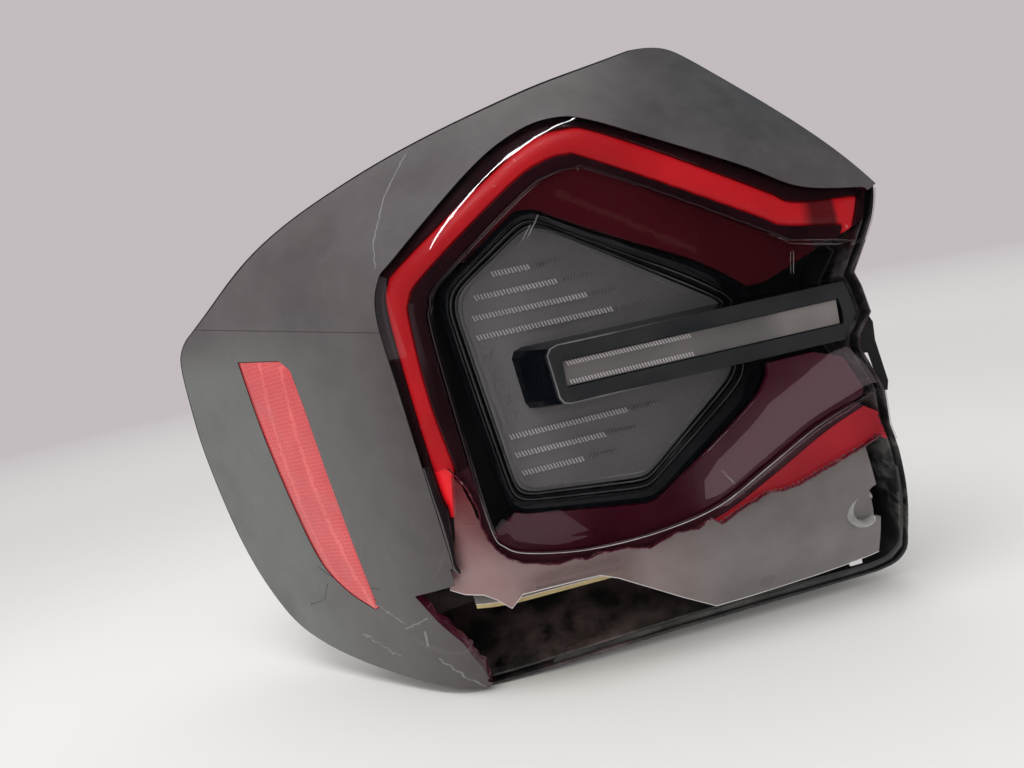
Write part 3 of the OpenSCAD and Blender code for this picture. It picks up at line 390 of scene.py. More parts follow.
# ---------------------------------------------------------------- finishes
class Finish:
    """A material being put together from nodes."""

    def __init__(self, name):
        self.material = bpy.data.materials.new(name)
        self.material.use_nodes = True
        self.tree = self.material.node_tree
        self.tree.nodes.clear()
        self.end = self.tree.nodes.new("ShaderNodeOutputMaterial")
        self.where = self.tree.nodes.new("ShaderNodeTexCoord").outputs["Object"]

    def add(self, kind, inputs=None, **settings):
        node = self.tree.nodes.new("ShaderNode" + kind)
        for key, value in settings.items():
            setattr(node, key, value)
        for key, value in (inputs or {}).items():
            self.feed(node.inputs[key], value)
        return node

    def feed(self, socket, value):
        if isinstance(value, bpy.types.NodeSocket):
            self.tree.links.new(value, socket)
        elif isinstance(value, (tuple, list)) and socket.type == "RGBA":
            socket.default_value = (*value[:3], 1)
        else:
            socket.default_value = value

    def noise(self, scale, detail=3, roughness=0.5, stretch=(1, 1, 1), shift=0.0):
        """Noise from 0 to 1, with so many waves to the metre."""
        place = self.add("Mapping", {"Vector": self.where, "Scale": stretch,
                                     "Location": (shift, shift, shift)})
        return self.add("TexNoise", {"Vector": place.outputs[0], "Scale": scale,
                                     "Detail": detail, "Roughness": roughness}).outputs["Fac"]

    def cloud(self, scale, detail=3, roughness=0.5, low=0.35, high=0.65, **place):
        """Noise with the range between two of its values stretched to 0 and 1."""
        return self.span(self.noise(scale, detail, roughness, **place), low, high)

    def span(self, value, low, high, to_low=0.0, to_high=1.0):
        return self.add("MapRange", {"Value": value, "From Min": low, "From Max": high,
                                     "To Min": to_low, "To Max": to_high}).outputs[0]

    def mix(self, fac, a, b):
        node = self.add("Mix", {0: fac}, data_type="RGBA")
        self.feed(node.inputs[6], a)
        self.feed(node.inputs[7], b)
        return node.outputs[2]

    def maths(self, operation, a, b):
        return self.add("Math", {0: a, 1: b}, operation=operation).outputs[0]

    def vector(self, operation, a, b, out=0):
        other = "Scale" if operation == "SCALE" else 1
        return self.add("VectorMath", {0: a, other: b}, operation=operation).outputs[out]

    def times(self, first, *rest):
        for value in rest:
            first = self.maths("MULTIPLY", first, value)
        return first

    def layers(self, colour, *coats):
        """A colour under coats, each a colour and the masks that it shows through."""
        for over, *masks in coats:
            colour = self.mix(self.times(*masks), colour, over)
        return colour

    def axis(self, name):
        return self.add("SeparateXYZ", {"Vector": self.where}).outputs[name]

    def group(self, tree, **values):
        node = self.add("Group")
        node.node_tree = tree
        for key, value in values.items():
            self.feed(node.inputs[key], value)
        return node.outputs

    def lines(self, *marks):
        """The masks of ragged lines, each given by x, z, x, z, width and raggedness."""
        total = None
        for x0, z0, x1, z1, width, ragged in marks:
            mask = self.group(LINE, Start=(x0 * MM, 0, z0 * MM), End=(x1 * MM, 0, z1 * MM),
                              Width=width * MM, Ragged=ragged * MM)["Mask"]
            total = mask if total is None else self.maths("MAXIMUM", total, mask)
        return total

    def bump(self, height, distance, strength):
        return self.add("Bump", {"Height": height, "Distance": distance,
                                 "Strength": strength}).outputs[0]

    def plastic(self, **inputs):
        names = {key.replace("_", " ").title().replace("Ior", "IOR"): value
                 for key, value in inputs.items()}
        return self.add("BsdfPrincipled", names)

    def blend(self, share, a, b):
        return self.add("MixShader", {0: share, 1: a.outputs[0], 2: b.outputs[0]})

    def done(self, shader):
        self.tree.links.new(shader.outputs[0], self.end.inputs["Surface"])
        return self.material

    def surface(self, colour, rough, normal, coat=0.0, coat_rough=0.06, **more):
        """The finished material, as plastic or metal under a clear coat."""
        return self.done(self.plastic(base_color=colour, roughness=rough, normal=normal,
                                      coat_weight=coat, coat_roughness=coat_rough, **more))


class Effect(Finish):
    """A node group being put together, with named inputs and outputs."""

    def __init__(self, name, inputs, *outputs):
        self.tree = bpy.data.node_groups.new(name, "ShaderNodeTree")
        for key, value in inputs.items():
            kind = "Vector" if isinstance(value, tuple) else "Float"
            socket = self.tree.interface.new_socket(key, in_out="INPUT",
                                                    socket_type="NodeSocket" + kind)
            socket.default_value = value
        for key in outputs:
            self.tree.interface.new_socket(key, in_out="OUTPUT", socket_type="NodeSocketFloat")
        self.given = self.tree.nodes.new("NodeGroupInput").outputs
        self.end = self.tree.nodes.new("NodeGroupOutput")
        self.where = self.tree.nodes.new("ShaderNodeTexCoord").outputs["Object"]

    def gives(self, **values):
        for key, value in values.items():
            self.feed(self.end.inputs[key], value)
        return self.tree


def make_dust():
    """Fine grey dust and rubbed spots: Mask for the dust, Height for its grain."""
    kit = Effect("dust", {"Amount": 0.3, "Scale": 60.0}, "Mask", "Height")
    broad = kit.cloud(kit.given["Scale"], 6, 0.6, 0.42, 0.72)
    fine = kit.noise(1400, 3, 0.7)
    speck = kit.span(kit.span(fine, 0.55, 0.75), 0, 1, 0.35, 1)
    return kit.gives(Mask=kit.times(broad, speck, kit.given["Amount"]), Height=fine)


def make_scratches():
    """Thin straight scratches in three directions."""
    kit = Effect("scratches", {"Amount": 0.4, "Scale": 30.0}, "Mask")
    most = 0.0
    for turn, shift in ((0.5, 0.0), (-0.9, 3.7), (1.9, 7.1)):
        place = kit.add("Mapping", {"Vector": kit.where, "Rotation": (0.2, turn, 0.1),
                                    "Scale": (1, 1, 0.05), "Location": (shift, 0, shift)})
        cells = kit.add("TexVoronoi", {"Vector": place.outputs[0],
                                       "Scale": kit.given["Scale"]},
                        feature="DISTANCE_TO_EDGE")
        line = kit.span(cells.outputs["Distance"], 0.0, 0.006, 1, 0)
        patch = kit.cloud(25, 2, 0.5, 0.5, 0.62, shift=shift)
        most = kit.maths("MAXIMUM", most, kit.times(line, patch))
    return kit.gives(Mask=kit.times(most, kit.given["Amount"]))


def make_grain():
    """Moulded grain: a Height and a slow Shade from 0 to 1."""
    kit = Effect("moulded grain", {"Scale": 900.0}, "Height", "Shade")
    return kit.gives(Height=kit.noise(kit.given["Scale"], 2, 0.5), Shade=kit.cloud(35, 4, 0.6))


def make_line():
    """A ragged line between two points: Mask is 1 along it."""
    kit = Effect("ragged line", {"Start": (0, 0, 0), "End": (0, 0, 0), "Width": 0.001,
                                 "Ragged": 0.001}, "Mask")
    start, end = kit.given["Start"], kit.given["End"]
    wave = kit.add("TexNoise", {"Vector": kit.where, "Scale": 220.0, "Detail": 3.0})
    shift = kit.vector("SUBTRACT", wave.outputs["Color"], (0.5, 0.5, 0.5))
    place = kit.vector("ADD", kit.where, kit.vector("SCALE", shift, kit.given["Ragged"]))
    along = kit.vector("SUBTRACT", end, start)
    rest = kit.vector("SUBTRACT", kit.vector("MULTIPLY", place, (1, 0, 1)), start)
    share = kit.span(kit.maths("DIVIDE", kit.vector("DOT_PRODUCT", rest, along, 1),
                               kit.vector("DOT_PRODUCT", along, along, 1)), 0, 1)
    away = kit.vector("DISTANCE", rest, kit.vector("SCALE", along, share), 1)
    near = kit.maths("DIVIDE", away, kit.given["Width"])
    return kit.gives(Mask=kit.span(near, 0.35, 1.0, 1, 0))


DUST = make_dust()
LINE = make_line()
SCRATCHES = make_scratches()
GRAIN = make_grain()


def moulded(name, dark, light, rough=0.45, coat=0.0, dust=0.2, grain=900.0, bumps=0.00003,
            metallic=0.0):
    """Moulded plastic, metal or rubber, with grain, uneven shade and dust."""
    f = Finish(name)
    shade, grey = f.group(GRAIN, Scale=grain), f.group(DUST, Amount=dust)["Mask"]
    colour = f.layers(dark, (light, shade["Shade"]),
                      (tuple(0.35 * c + 0.12 for c in light), grey))
    roughness = f.maths("ADD", f.span(shade["Shade"], 0, 1, rough * 0.85, rough * 1.15),
                        f.times(grey, 0.5))
    return f.surface(colour, roughness, f.bump(shade["Height"], bumps, 0.5), coat,
                     metallic=metallic)


def matt_skin():
    """The hazy surround: brown by the band; green grey at the side, lightened there as painted sheen;
    painted shade in blue grey over the top; a painted highlight along the upper edge.
    """
    f = Finish("matt skin")
    across, up = f.axis("X"), f.axis("Z")
    low = f.span(up, 0.06, 0.03)
    blotch = f.cloud(14, 5, 0.6, 0.42, 0.68, stretch=(1, 1, 0.6))
    dust = f.group(DUST, Amount=0.25, Scale=90.0)
    scuffs = f.lines(
        (-79.5, 129.7, -96, 108, 0.35, 2), (-96, 108, -107, 84, 0.35, 2),
        (-107, 84, -109, 70, 0.3, 2), (-138, -132, -124, -123, 0.5, 3),
        (-127, -132, -127, -141, 0.9, 1), (-122, -150, -100, -171, 0.7, 6),
        (-165, -139, -145, -152, 0.6, 6), (-150, -118, -138, -128, 0.4, 4))
    cracks = f.lines((-196, -123, -185, -118, 0.35, 3), (-185, -118, -180, -106, 0.3, 2),
                     (-183, -95, -172, -104, 0.4, 2), (-172, -104, -147, -107, 0.3, 1))
    colour = f.layers(
        (0.098, 0.084, 0.086),
        # Green grey tint of the lower film at the outboard side, lightened as painted sheen
        ((0.150, 0.160, 0.150), f.span(across, -0.125, -0.2), low),
        # Painted shade: dark blue grey over the top face, inboard of the peak
        ((0.022, 0.029, 0.031), f.span(across, 0.0, 0.12), f.span(up, 0.05, 0.12)),
        ((0.074, 0.060, 0.061), low, f.span(across, -0.125, -0.105)),
        # Painted highlight: lighter along the upper edge
        ((0.165, 0.160, 0.155), f.span(up, 0.115, 0.16), f.span(across, 0.06, 0), 0.8),
        ((0.150, 0.144, 0.150), blotch, 0.26),
        ((0.05, 0.043, 0.047), f.cloud(22, 3, 0.5, 0.5, 0.7, shift=4.0), 0.3),
        ((0.22, 0.21, 0.21), dust["Mask"]),
        ((0.3, 0.29, 0.29), f.group(SCRATCHES, Amount=0.10, Scale=26.0)["Mask"]),
        ((0.30, 0.30, 0.29), scuffs, 0.7), ((0.022, 0.020, 0.021), cracks))
    return f.surface(colour, f.span(blotch, 0, 1, 0.42, 0.6),
                     f.bump(dust["Height"], 0.00002, 0.5))


def prism_red():
    """Hazed red reflector with a honeycomb of prisms in its middle, and a faint painted glow from
    emission.
    """
    f = Finish("prism red")
    place = f.add("Mapping", {"Vector": f.where, "Rotation": (0, 0.12, 0.7)})
    cells = f.add("TexVoronoi", {"Vector": place.outputs[0], "Scale": 420.0,
                                 "Randomness": 0.12}, feature="DISTANCE_TO_EDGE")
    comb = f.span(cells.outputs["Distance"], 0.02, 0.12)
    colour = f.layers((0.80, 0.13, 0.13), ((0.66, 0.052, 0.060), comb),
                      ((0.5, 0.032, 0.044), f.cloud(30, 2, 0.5, 0.4, 0.6), 0.35),
                      ((0.56, 0.29, 0.28), f.group(DUST, Amount=0.35, Scale=50.0)["Mask"]))
    # The emission is a painted glow, not a lamp
    return f.surface(colour, 0.38, f.bump(comb, 0.0002, 0.4), 0.4, 0.25,
                     emission_color=colour, emission_strength=0.06)


def clear_gloss():
    """Smoked clear plastic: light passes straight through, and the surface is glossy."""
    f = Finish("smoked clear lens")
    dust = f.group(DUST, Amount=0.10, Scale=40.0)["Mask"]
    scuffs = f.lines((-25, 79, -33, 69, 0.28, 2), (-30, 75, -36, 68, 0.2, 1),
                     (103, 35, 101, 24, 0.25, 1), (50, -78, 44, -70, 0.3, 2))
    hairs = f.group(SCRATCHES, Amount=0.5, Scale=14.0)["Mask"]
    marks = f.maths("MINIMUM", f.maths("ADD", f.times(scuffs, 0.35), f.times(hairs, 0.05)), 1.0)
    through = f.add("BsdfTransparent", {"Color": (0.86, 0.84, 0.85)})
    shine = f.add("BsdfGlossy", {"Color": (1, 1, 1), "Roughness": f.span(dust, 0, 1, 0.02, 0.3)})
    # Only the faces that a ray meets from outside shine, so nothing is trapped in the wall.
    facing = f.maths("SUBTRACT", 1.0, f.add("NewGeometry").outputs["Backfacing"])
    clear = f.blend(f.times(f.add("Fresnel", {"IOR": 1.5}).outputs[0], facing), through, shine)
    haze = f.plastic(base_color=f.mix(scuffs, (0.16, 0.15, 0.155), (0.45, 0.44, 0.44)),
                     roughness=0.5)
    return f.done(f.blend(f.maths("ADD", f.times(dust, 0.09), marks), clear, haze))


def band_red(name, base, glow, dimmed):
    """Light guide: bright red plastic with pale specks; dim inboard, but for its very end; glow sets
    a painted glow from emission.
    """
    f = Finish(name)
    along = f.axis("X")
    colour = f.layers(
        base, (tuple(c * 0.72 for c in base), f.cloud(16)),
        ((0.8, 0.35, 0.33), f.cloud(260, 2, 0.5, 0.69, 0.76),
         f.cloud(18, 2, 0.5, 0.45, 0.6, shift=2.0), 0.7),
        ((0.05, 0.004, 0.006), f.span(along, 0.112, 0.119), f.span(along, 0.134, 0.131), dimmed))
    # Emission of the colour itself: a painted glow
    return f.surface(colour, 0.4, f.bump(f.noise(300, 2), 0.0001, 0.2), 0.1, 0.08,
                     emission_color=colour, emission_strength=glow)


def frosted():
    """Milky sheet: grey inboard, pink and more see-through by the band."""
    f = Finish("frosted sheet")
    across, height = f.axis("X"), f.axis("Z")
    flap = f.times(f.span(across, -0.06, -0.075), f.span(height, -0.095, -0.05))
    cloud = f.cloud(30, 4, 0.6)
    dust = f.group(DUST, Amount=0.2, Scale=60.0)
    # The moulding's round mark, with a paler ring at its edge
    away = f.vector("DISTANCE", f.vector("MULTIPLY", f.where, (1, 0, 1)), (0.071, 0, -0.1485), 1)
    mark = f.span(away, 0.0058, 0.0052)
    colour = f.layers(
        (0.235, 0.215, 0.212), ((0.36, 0.26, 0.255), f.span(across, 0.05, -0.02)),
        ((0.42, 0.255, 0.25), f.span(across, -0.04, -0.09)), ((0.30, 0.035, 0.045), flap),
        ((0.38, 0.35, 0.345), cloud, 0.12), ((0.3, 0.28, 0.28), dust["Mask"]),
        ((0.12, 0.105, 0.105), mark, 0.35),
        ((0.4, 0.38, 0.38), mark, f.span(away, 0.0045, 0.0054), 0.25))
    shine = f.plastic(base_color=colour, roughness=0.4,
                      normal=f.bump(dust["Height"], 0.00004, 0.5))
    through = f.add("BsdfTransparent", {"Color": (0.80, 0.74, 0.74)})
    clearer = f.times(f.span(height, -0.099, -0.106), f.span(across, -0.075, -0.06),
                      f.span(across, 0.0, -0.02))
    body = f.maths("SUBTRACT", f.span(cloud, 0, 1, 0.74, 0.84),
                   f.times(f.maths("MAXIMUM", flap, clearer), 0.42))
    return f.done(f.blend(body, through, shine))


def optic_plastic():
    """Grey prismatic plastic: fine hatching across and a faint mottling."""
    f = Finish("grey optic")
    wave = f.add("TexWave", {"Vector": f.where, "Scale": 330.0, "Distortion": 0.0},
                 wave_type="BANDS", bands_direction="X")
    hatch = f.span(wave.outputs["Fac"], 0, 1)
    colour = f.layers((0.160, 0.170, 0.168), ((0.330, 0.345, 0.338), hatch),
                      ((0.20, 0.212, 0.208), f.cloud(40, 3, 0.5, 0.3, 0.7), 0.5),
                      ((0.44, 0.46, 0.45), f.span(f.axis("X"), -0.02, -0.065, 0, 0.4)))
    return f.surface(colour, 0.3, f.bump(hatch, 0.0002, 0.35), 0.4, 0.1)


def stop_red():
    """Stop lens: deep red, black inboard, with a faint red smear at its very end."""
    f = Finish("stop red")
    across, slow = f.axis("X"), f.cloud(18)
    colour = f.layers((0.075, 0.004, 0.008), ((0.092, 0.005, 0.010), slow),
                      ((0.03, 0.001, 0.003), f.span(across, 0.03, 0.10, 0, 0.45)),
                      ((0.016, 0.006, 0.008), f.span(across, -0.045, -0.065, 0, 0.8)),
                      ((0.014, 0.011, 0.013), f.span(across, 0.1165, 0.1185)),
                      ((0.16, 0.05, 0.045), f.lines((-12, 88, 52, 46, 2.2, 6)), 0.3),
                      ((0.16, 0.01, 0.016), f.lines((131, 52, 137, 22, 3, 5)), 0.5))
    return f.surface(colour, 0.22, f.bump(slow, 0.0001, 0.2), 0.15, 0.08)


def fin_black():
    """Fin: charcoal on its front face, navy black on its sloping sides."""
    f = Finish("fin black")
    slow = f.cloud(30)
    side = f.mix(slow, (0.0025, 0.0045, 0.009), (0.005, 0.008, 0.014))
    front = f.mix(slow, (0.040, 0.047, 0.048), (0.062, 0.070, 0.070))
    colour = f.mix(f.span(f.axis("Y"), -0.1215, -0.1225), side, front)
    return f.surface(colour, 0.22, f.bump(f.noise(900, 2), 0.00002, 0.4), 0.3)


def painted_highlight_line(name, dim, bright, axis, start, end):
    """A glossy edge with a painted highlight that is brighter towards one end of an axis."""
    f = Finish(name)
    broken = f.span(f.noise(60, 3, 0.6), 0.3, 0.55, 0.55, 1)
    colour = f.layers(dim, (bright, f.span(f.axis(axis), start, end), broken))
    return f.surface(colour, 0.2, f.bump(f.noise(500, 2), 0.00003, 0.4), 0.6)


def chipped(name, dark, light):
    """A snapped edge: glossy crimson broken up by pale chips and painted highlights."""
    f = Finish(name)
    broad = f.noise(120, 4, 0.7)
    colour = f.layers(dark, (tuple(2.2 * c for c in dark), f.cloud(45, 3, 0.6, shift=1.0)),
                      # Pale patches: chips, and painted highlights along the torn edge
                      (light, f.span(broad, 0.56, 0.66), 0.75))
    return f.surface(colour, 0.15, f.bump(broad, 0.0012, 0.6), 0.7)


def strip_grey():
    """Light strip: grey, with a paler window towards its inboard end."""
    f = Finish("strip grey")
    cloud = f.cloud(50, 4, 0.6, stretch=(0.4, 1, 1))
    colour = f.layers((0.225, 0.235, 0.220), ((0.285, 0.290, 0.270), cloud),
                      ((0.46, 0.455, 0.42), f.span(f.axis("X"), 0.082, 0.096),
                       f.span(cloud, 0, 1, 0.5, 1)))
    return f.surface(colour, 0.3, f.bump(f.noise(700, 2), 0.00003, 0.4), 0.3)


def housing_black():
    """Housing: black plastic, lighter brown inside the foot on faces turned up and forward, and dust
    on its rim.
    """
    f = Finish("housing black")
    grain = f.group(GRAIN, Scale=900.0)
    facing = f.vector("DOT_PRODUCT", f.add("NewGeometry").outputs["Normal"], (0, -1, 1), 1)
    # Lighter brown on faces turned up and forward, low inside the foot
    haze = f.times(f.span(f.axis("Z"), -0.10, -0.13), f.span(f.axis("X"), 0.1, -0.05),
                   f.span(facing, 0.1, 0.5), f.cloud(38, 5, 0.6, 0.42, 0.66, shift=2.0))
    colour = f.layers((0.010, 0.010, 0.011), ((0.020, 0.020, 0.021), grain["Shade"]),
                      ((0.13, 0.125, 0.125), f.group(DUST, Amount=0.3, Scale=60.0)["Mask"]),
                      ((0.16, 0.115, 0.115), haze),
                      ((0.20, 0.195, 0.19), f.span(f.axis("Y"), -0.095, -0.101),
                       f.cloud(90, 5, 0.7, 0.45, 0.6, stretch=(0.3, 1, 1)), 0.5))
    roughness = f.maths("ADD", f.span(grain["Shade"], 0, 1, 0.26, 0.40), f.times(haze, 0.3))
    return f.surface(colour, roughness, f.bump(grain["Height"], 0.00003, 0.5), 0.15)


# Name, darkest and lightest colour, roughness, coat and dust; then the scale of the grain,
# the height of its bumps and the share of metal
MOULDED = {
    "crimson": ("crimson lens", (0.045, 0.004, 0.010), (0.09, 0.010, 0.020), 0.16, 0.6, 0.05),
    "frame": ("frame maroon", (0.016, 0.004, 0.006), (0.035, 0.006, 0.010), 0.18, 0.5, 0.03),
    "low_stop": ("stop crimson", (0.060, 0.003, 0.014), (0.080, 0.004, 0.018), 0.2, 0.2, 0.02),
    "gloss": ("gloss black", (0.0015, 0.003, 0.0045), (0.003, 0.005, 0.008), 0.10, 0.5, 0.01),
    # Pale grey on the bezel's two ridge tops: painted highlight lines
    "lip": ("lip painted highlight", (0.10, 0.112, 0.112), (0.24, 0.255, 0.25), 0.25, 0.6, 0.0),
    # Paler grey on the optic's ridge: a painted highlight line
    "optic_edge": ("optic edge painted highlight", (0.22, 0.235, 0.232), (0.42, 0.44, 0.43), 0.25, 0.4, 0.0),
    "ledge": ("edge maroon", (0.050, 0.010, 0.016), (0.085, 0.020, 0.028), 0.2, 0.5, 0.05),
    "border": ("border black", (0.006, 0.003, 0.004), (0.014, 0.008, 0.010), 0.1, 0.9, 0.06),
    # Near-white: painted glints on the prism teeth
    "teeth": ("teeth with painted glints", (0.80, 0.81, 0.80), (0.92, 0.93, 0.92), 0.3, 0.0, 0.0),
    "dim_teeth": ("dim teeth", (0.26, 0.265, 0.27), (0.40, 0.41, 0.41), 0.3, 0.0, 0.0),
    "inner": ("inner black", (0.010, 0.010, 0.011), (0.016, 0.016, 0.017), 0.5, 0.0, 0.15),
    "steel": ("zinc steel", (0.45, 0.45, 0.43), (0.58, 0.58, 0.56), 0.35, 0.0, 0.1, 900,
              0.00003, 1.0),
    # Near-white: a painted highlight along the sheet's lower edge, also used on its tab
    "cut_edge_highlight": ("cut edge painted highlight", (0.80, 0.78, 0.77), (0.92, 0.90, 0.89), 0.25, 0.5, 0.0),
    "cup": ("clear cup", (0.24, 0.235, 0.23), (0.46, 0.45, 0.445), 0.15, 0.8, 0.05, 140),
    "amber": ("amber edge", (0.46, 0.36, 0.17), (0.60, 0.47, 0.23), 0.25, 0.4, 0.1),
    "bowl": ("pale bowl", (0.88, 0.80, 0.76), (0.94, 0.88, 0.84), 0.3, 0.0, 0.1),
    "board": ("circuit board", (0.02, 0.09, 0.035), (0.03, 0.12, 0.05), 0.4),
    "led": ("emitter", (0.7, 0.62, 0.32), (0.8, 0.72, 0.42), 0.3),
    "sink": ("plain aluminium", (0.55, 0.56, 0.57), (0.66, 0.67, 0.68), 0.38, 0.0, 0.2, 300,
             0.00003, 1.0),
    "cast": ("cast aluminium", (0.42, 0.43, 0.44), (0.52, 0.53, 0.54), 0.5, 0.0, 0.2, 500,
             0.00012, 0.8),
    "brass": ("tinned brass", (0.55, 0.47, 0.28), (0.68, 0.6, 0.4), 0.3, 0.0, 0.2, 900,
              0.00003, 1.0),
    "rubber": ("soft rubber", (0.018, 0.018, 0.018), (0.03, 0.03, 0.03), 0.7, 0.0, 0.3),
    "foam": ("gasket foam", (0.022, 0.022, 0.022), (0.045, 0.045, 0.045), 0.95, 0.0, 0.3, 700,
             0.0004),
    "white": ("natural plastic", (0.6, 0.6, 0.57), (0.7, 0.7, 0.67), 0.4),
    "glue": ("old glue", (0.05, 0.05, 0.047), (0.14, 0.138, 0.13), 0.6, 0.0, 0.6, 400, 0.0003),
}
FINISHES = {key: moulded(*values) for key, values in MOULDED.items()}
FINISHES.update(
    housing=housing_black(), skin=matt_skin(), reflector=prism_red(), window=clear_gloss(),
    # The band and its foot get a painted glow from emission
    band=band_red("band red", (0.80, 0.010, 0.018), 0.22, 0.86),
    foot=band_red("foot red", (0.66, 0.020, 0.036), 0.16, 0.0),
    stop=stop_red(), optic=optic_plastic(), fin=fin_black(), strip=strip_grey(),
    frosted=frosted(),
    # Painted highlights on the fin's edges and on the crease's bead, brighter towards one end
    fin_edge=painted_highlight_line("fin edge painted highlight", (0.015, 0.018, 0.018), (0.46, 0.48, 0.48), "X", 0.06,
                         -0.03),
    bead=painted_highlight_line("crease bead painted highlight", (0.040, 0.022, 0.026), (0.55, 0.50, 0.51), "Z", -0.05,
                     -0.088),
    chipped=chipped("chipped rim", (0.045, 0.006, 0.012), (0.42, 0.25, 0.26)),
    snapped=chipped("snapped crimson", (0.035, 0.004, 0.011), (0.30, 0.12, 0.14)))

FINISHED_NODES = {
    "housing": "rear_housing", "crimson": "outer_lens", "skin": "upper_skin lower_skin",
    "reflector": "side_reflector", "band": "light_band lower_band", "frame": "band_frame",
    "stop": "upper_stop_lens lower_stop_lens", "gloss": "inner_bezel",
    "optic": "centre_optic", "fin": "fin_body", "strip": "fin_strip",
    "inner": "lamp_carrier connector_socket side_bracket", "frosted": "lower_diffuser",
    "steel": "diffuser_screw carrier_screws module_screws fixing_studs",
    "amber": "amber_light_bar", "bowl": "turn_reflector",
    "board": "turn_led_board tail_led_board stop_led_board", "led": "board_leds",
    "sink": "heat_sink", "cast": "control_module", "brass": "connector_pins",
    "rubber": "vent_cap", "foam": "body_gasket", "white": "locating_pin",
    "glue": "glue_bead"}
for finish, nodes in FINISHED_NODES.items():
    for node in nodes.split():
        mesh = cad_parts[node].data
        mesh.materials.clear()
        mesh.materials.append(FINISHES[finish])


# ---------------------------------------------------------------- lens and skins
def window_outer(angle):
    if torn(angle):
        return max(BROKEN.at(angle), CREASE.at(angle) + 0.5)
    if angle > BREAK_END or angle < SKIN_START:
        return lens_edge(angle)
    return min(GLOSS.at(angle), lens_edge(angle) - 4.4)


WINDOW_ROWS = ([(0.0, 0.02 + 0.1 * j, 1) for j in range(10)]
               + [(-2.4, 1, 1), (-1.9, 1, 0.86), (-1.2, 1, 0.5), (-0.5, 1, 0.14), (0, 1, 0)])


def window_point(angle, j):
    crease = CREASE.at(angle)
    crease = min(crease, window_outer(angle) - 0.4)
    if j < len(WINDOW_ROWS):
        shift, share, sunk = WINDOW_ROWS[j]
        return on_face(angle, crease * share + shift, CREASE_STEP * sunk)
    t = (j - len(WINDOW_ROWS) + 1) / 12
    return on_face(angle, crease + (window_outer(angle) - crease) * t, 0)


def build_window():
    angles = stations(BAND_START, BAND_START + 360)
    bm = laid_grid(angles, len(WINDOW_ROWS) + 12, window_point)
    merge(bm)
    bmesh.ops.holes_fill(bm, edges=[e for e in bm.edges if e.is_boundary
                                    and e.calc_length() < 0.0005], sides=0)
    thicken(bm, LENS_WALL)
    piece("lens_window", bm, "lens_crimson", "outer_lens", "window")


def build_lens_edges():
    """The crease's fine bead with a painted highlight, the dark ledge beyond it and the snapped edge
    of the window.
    """
    def bead(angle):
        r = min(CREASE.at(angle), window_outer(angle) - 0.6)
        return [on_face(angle, r + a, d) for a, d in
                ((-0.35, 0.3), (-0.2, -0.05), (0.05, -0.1), (0.2, 0.15))]
    angles = stations(BAND_START + 1, BAND_START + 359)
    piece("crease_bead", swept(angles, bead), "lens_crimson", "outer_lens", "bead", smooth=80)

    def ledge(angle):
        i = CREASE.at(angle) + 0.4
        slim = min(max((angle - 268) / 8, 0), 1)
        wide = max(BROKEN.at(angle) - 0.3, i + 0.4)
        o = (1 - slim) * wide + slim * min(wide, i + 2.4)
        return [on_face(angle, r, d) for r, d in ((i, 3.02), (o, 3.02), (o, 3.36), (i, 3.36))]
    piece("edge_ledge", swept(stations(BAND_BREAK + 2, 327), ledge), "lens_crimson", "outer_lens",
          "ledge")

    # The torn rim's pale patches are partly painted highlights.
    def snapped(angle):
        r = window_outer(angle) + 0.25 * ragged(angle)
        return [on_face(angle, r + a, d) for a, d in
                ((-0.8, -0.02), (-0.1, -0.1), (0.2, 0.4), (0.1, 2.7), (-0.6, 3.0))]
    piece("snapped_rim", swept(stations(BAND_BREAK, BREAK_END, step=0.5), snapped),
          "lens_crimson", "outer_lens", "chipped")


def build_border():
    """What is left of the gloss border beside the missing part of the window."""
    start, end = BAND_BREAK - 2, STRIP_BREAK + 1

    def section(angle):
        t = max((angle - end + 3) / 3, 0)
        wide = math.sqrt(max(1 - t * t, 0.01))
        o = GLOSS.at(min(angle, STRIP_BREAK)) + 0.4
        i = min(band_outer(angle) + 0.8, o - 3)
        middle, half = (o + i) / 2, (o - i) / 2 * wide
        return [on_face(angle, middle + half * a, d) for a, d in
                ((-1, 3), (-1, 0.8), (-0.8, 0.1), (-0.3, -0.25), (0.5, -0.25), (1, 0), (1, 3))]
    piece("border_strip", swept(stations(start, end, step=0.5), section), "lens_crimson",
          "outer_lens", "border", smooth=70)

    # The surround's lower corner runs level, past the strip's end.
    top = straight([(-105.6, -90.2), (-130, -106.4)], 8)
    foot = straight([(-105, -101), (-129, -109.6)], 8)

    def corner(depth):
        def place(k, j):
            t = j / 3
            x, z = ((1 - t) * a + t * b for a, b in zip(top[k], foot[k]))
            return Vector((x, face_y(x, z) + depth, z)) * MM
        return place
    bm = laid_grid(range(9), 4, corner(0.04 - SKIN_WALL))
    thicken(bm, SKIN_WALL - 0.04)
    piece("skin_corner", bm, "skin_grey", "lower_skin", "skin")
    bm = laid_grid(range(9), 4, corner(0))
    thicken(bm, LENS_WALL)
    piece("surround_corner", bm, "lens_crimson", "outer_lens", "crimson")


def side_reach(angle):
    """Reaches that part the surround: gloss, side, reflector's outer edge, lens edge."""
    edge = lens_edge(angle)
    side = SIDE_INNER.at(angle)
    gloss = GLOSS.at(angle) if angle < STRIP_BREAK else side
    inside = REFLECTOR_START - 1 < angle < REFLECTOR_END + 0.1
    outer = REFLECTOR_OUTER.at(angle) if inside else (edge + side) / 2
    outer = min(outer, edge - 2.2)
    side = min(side, outer - 2.2)
    return min(gloss, side - 2.2 if angle < STRIP_BREAK else side), side, outer, edge


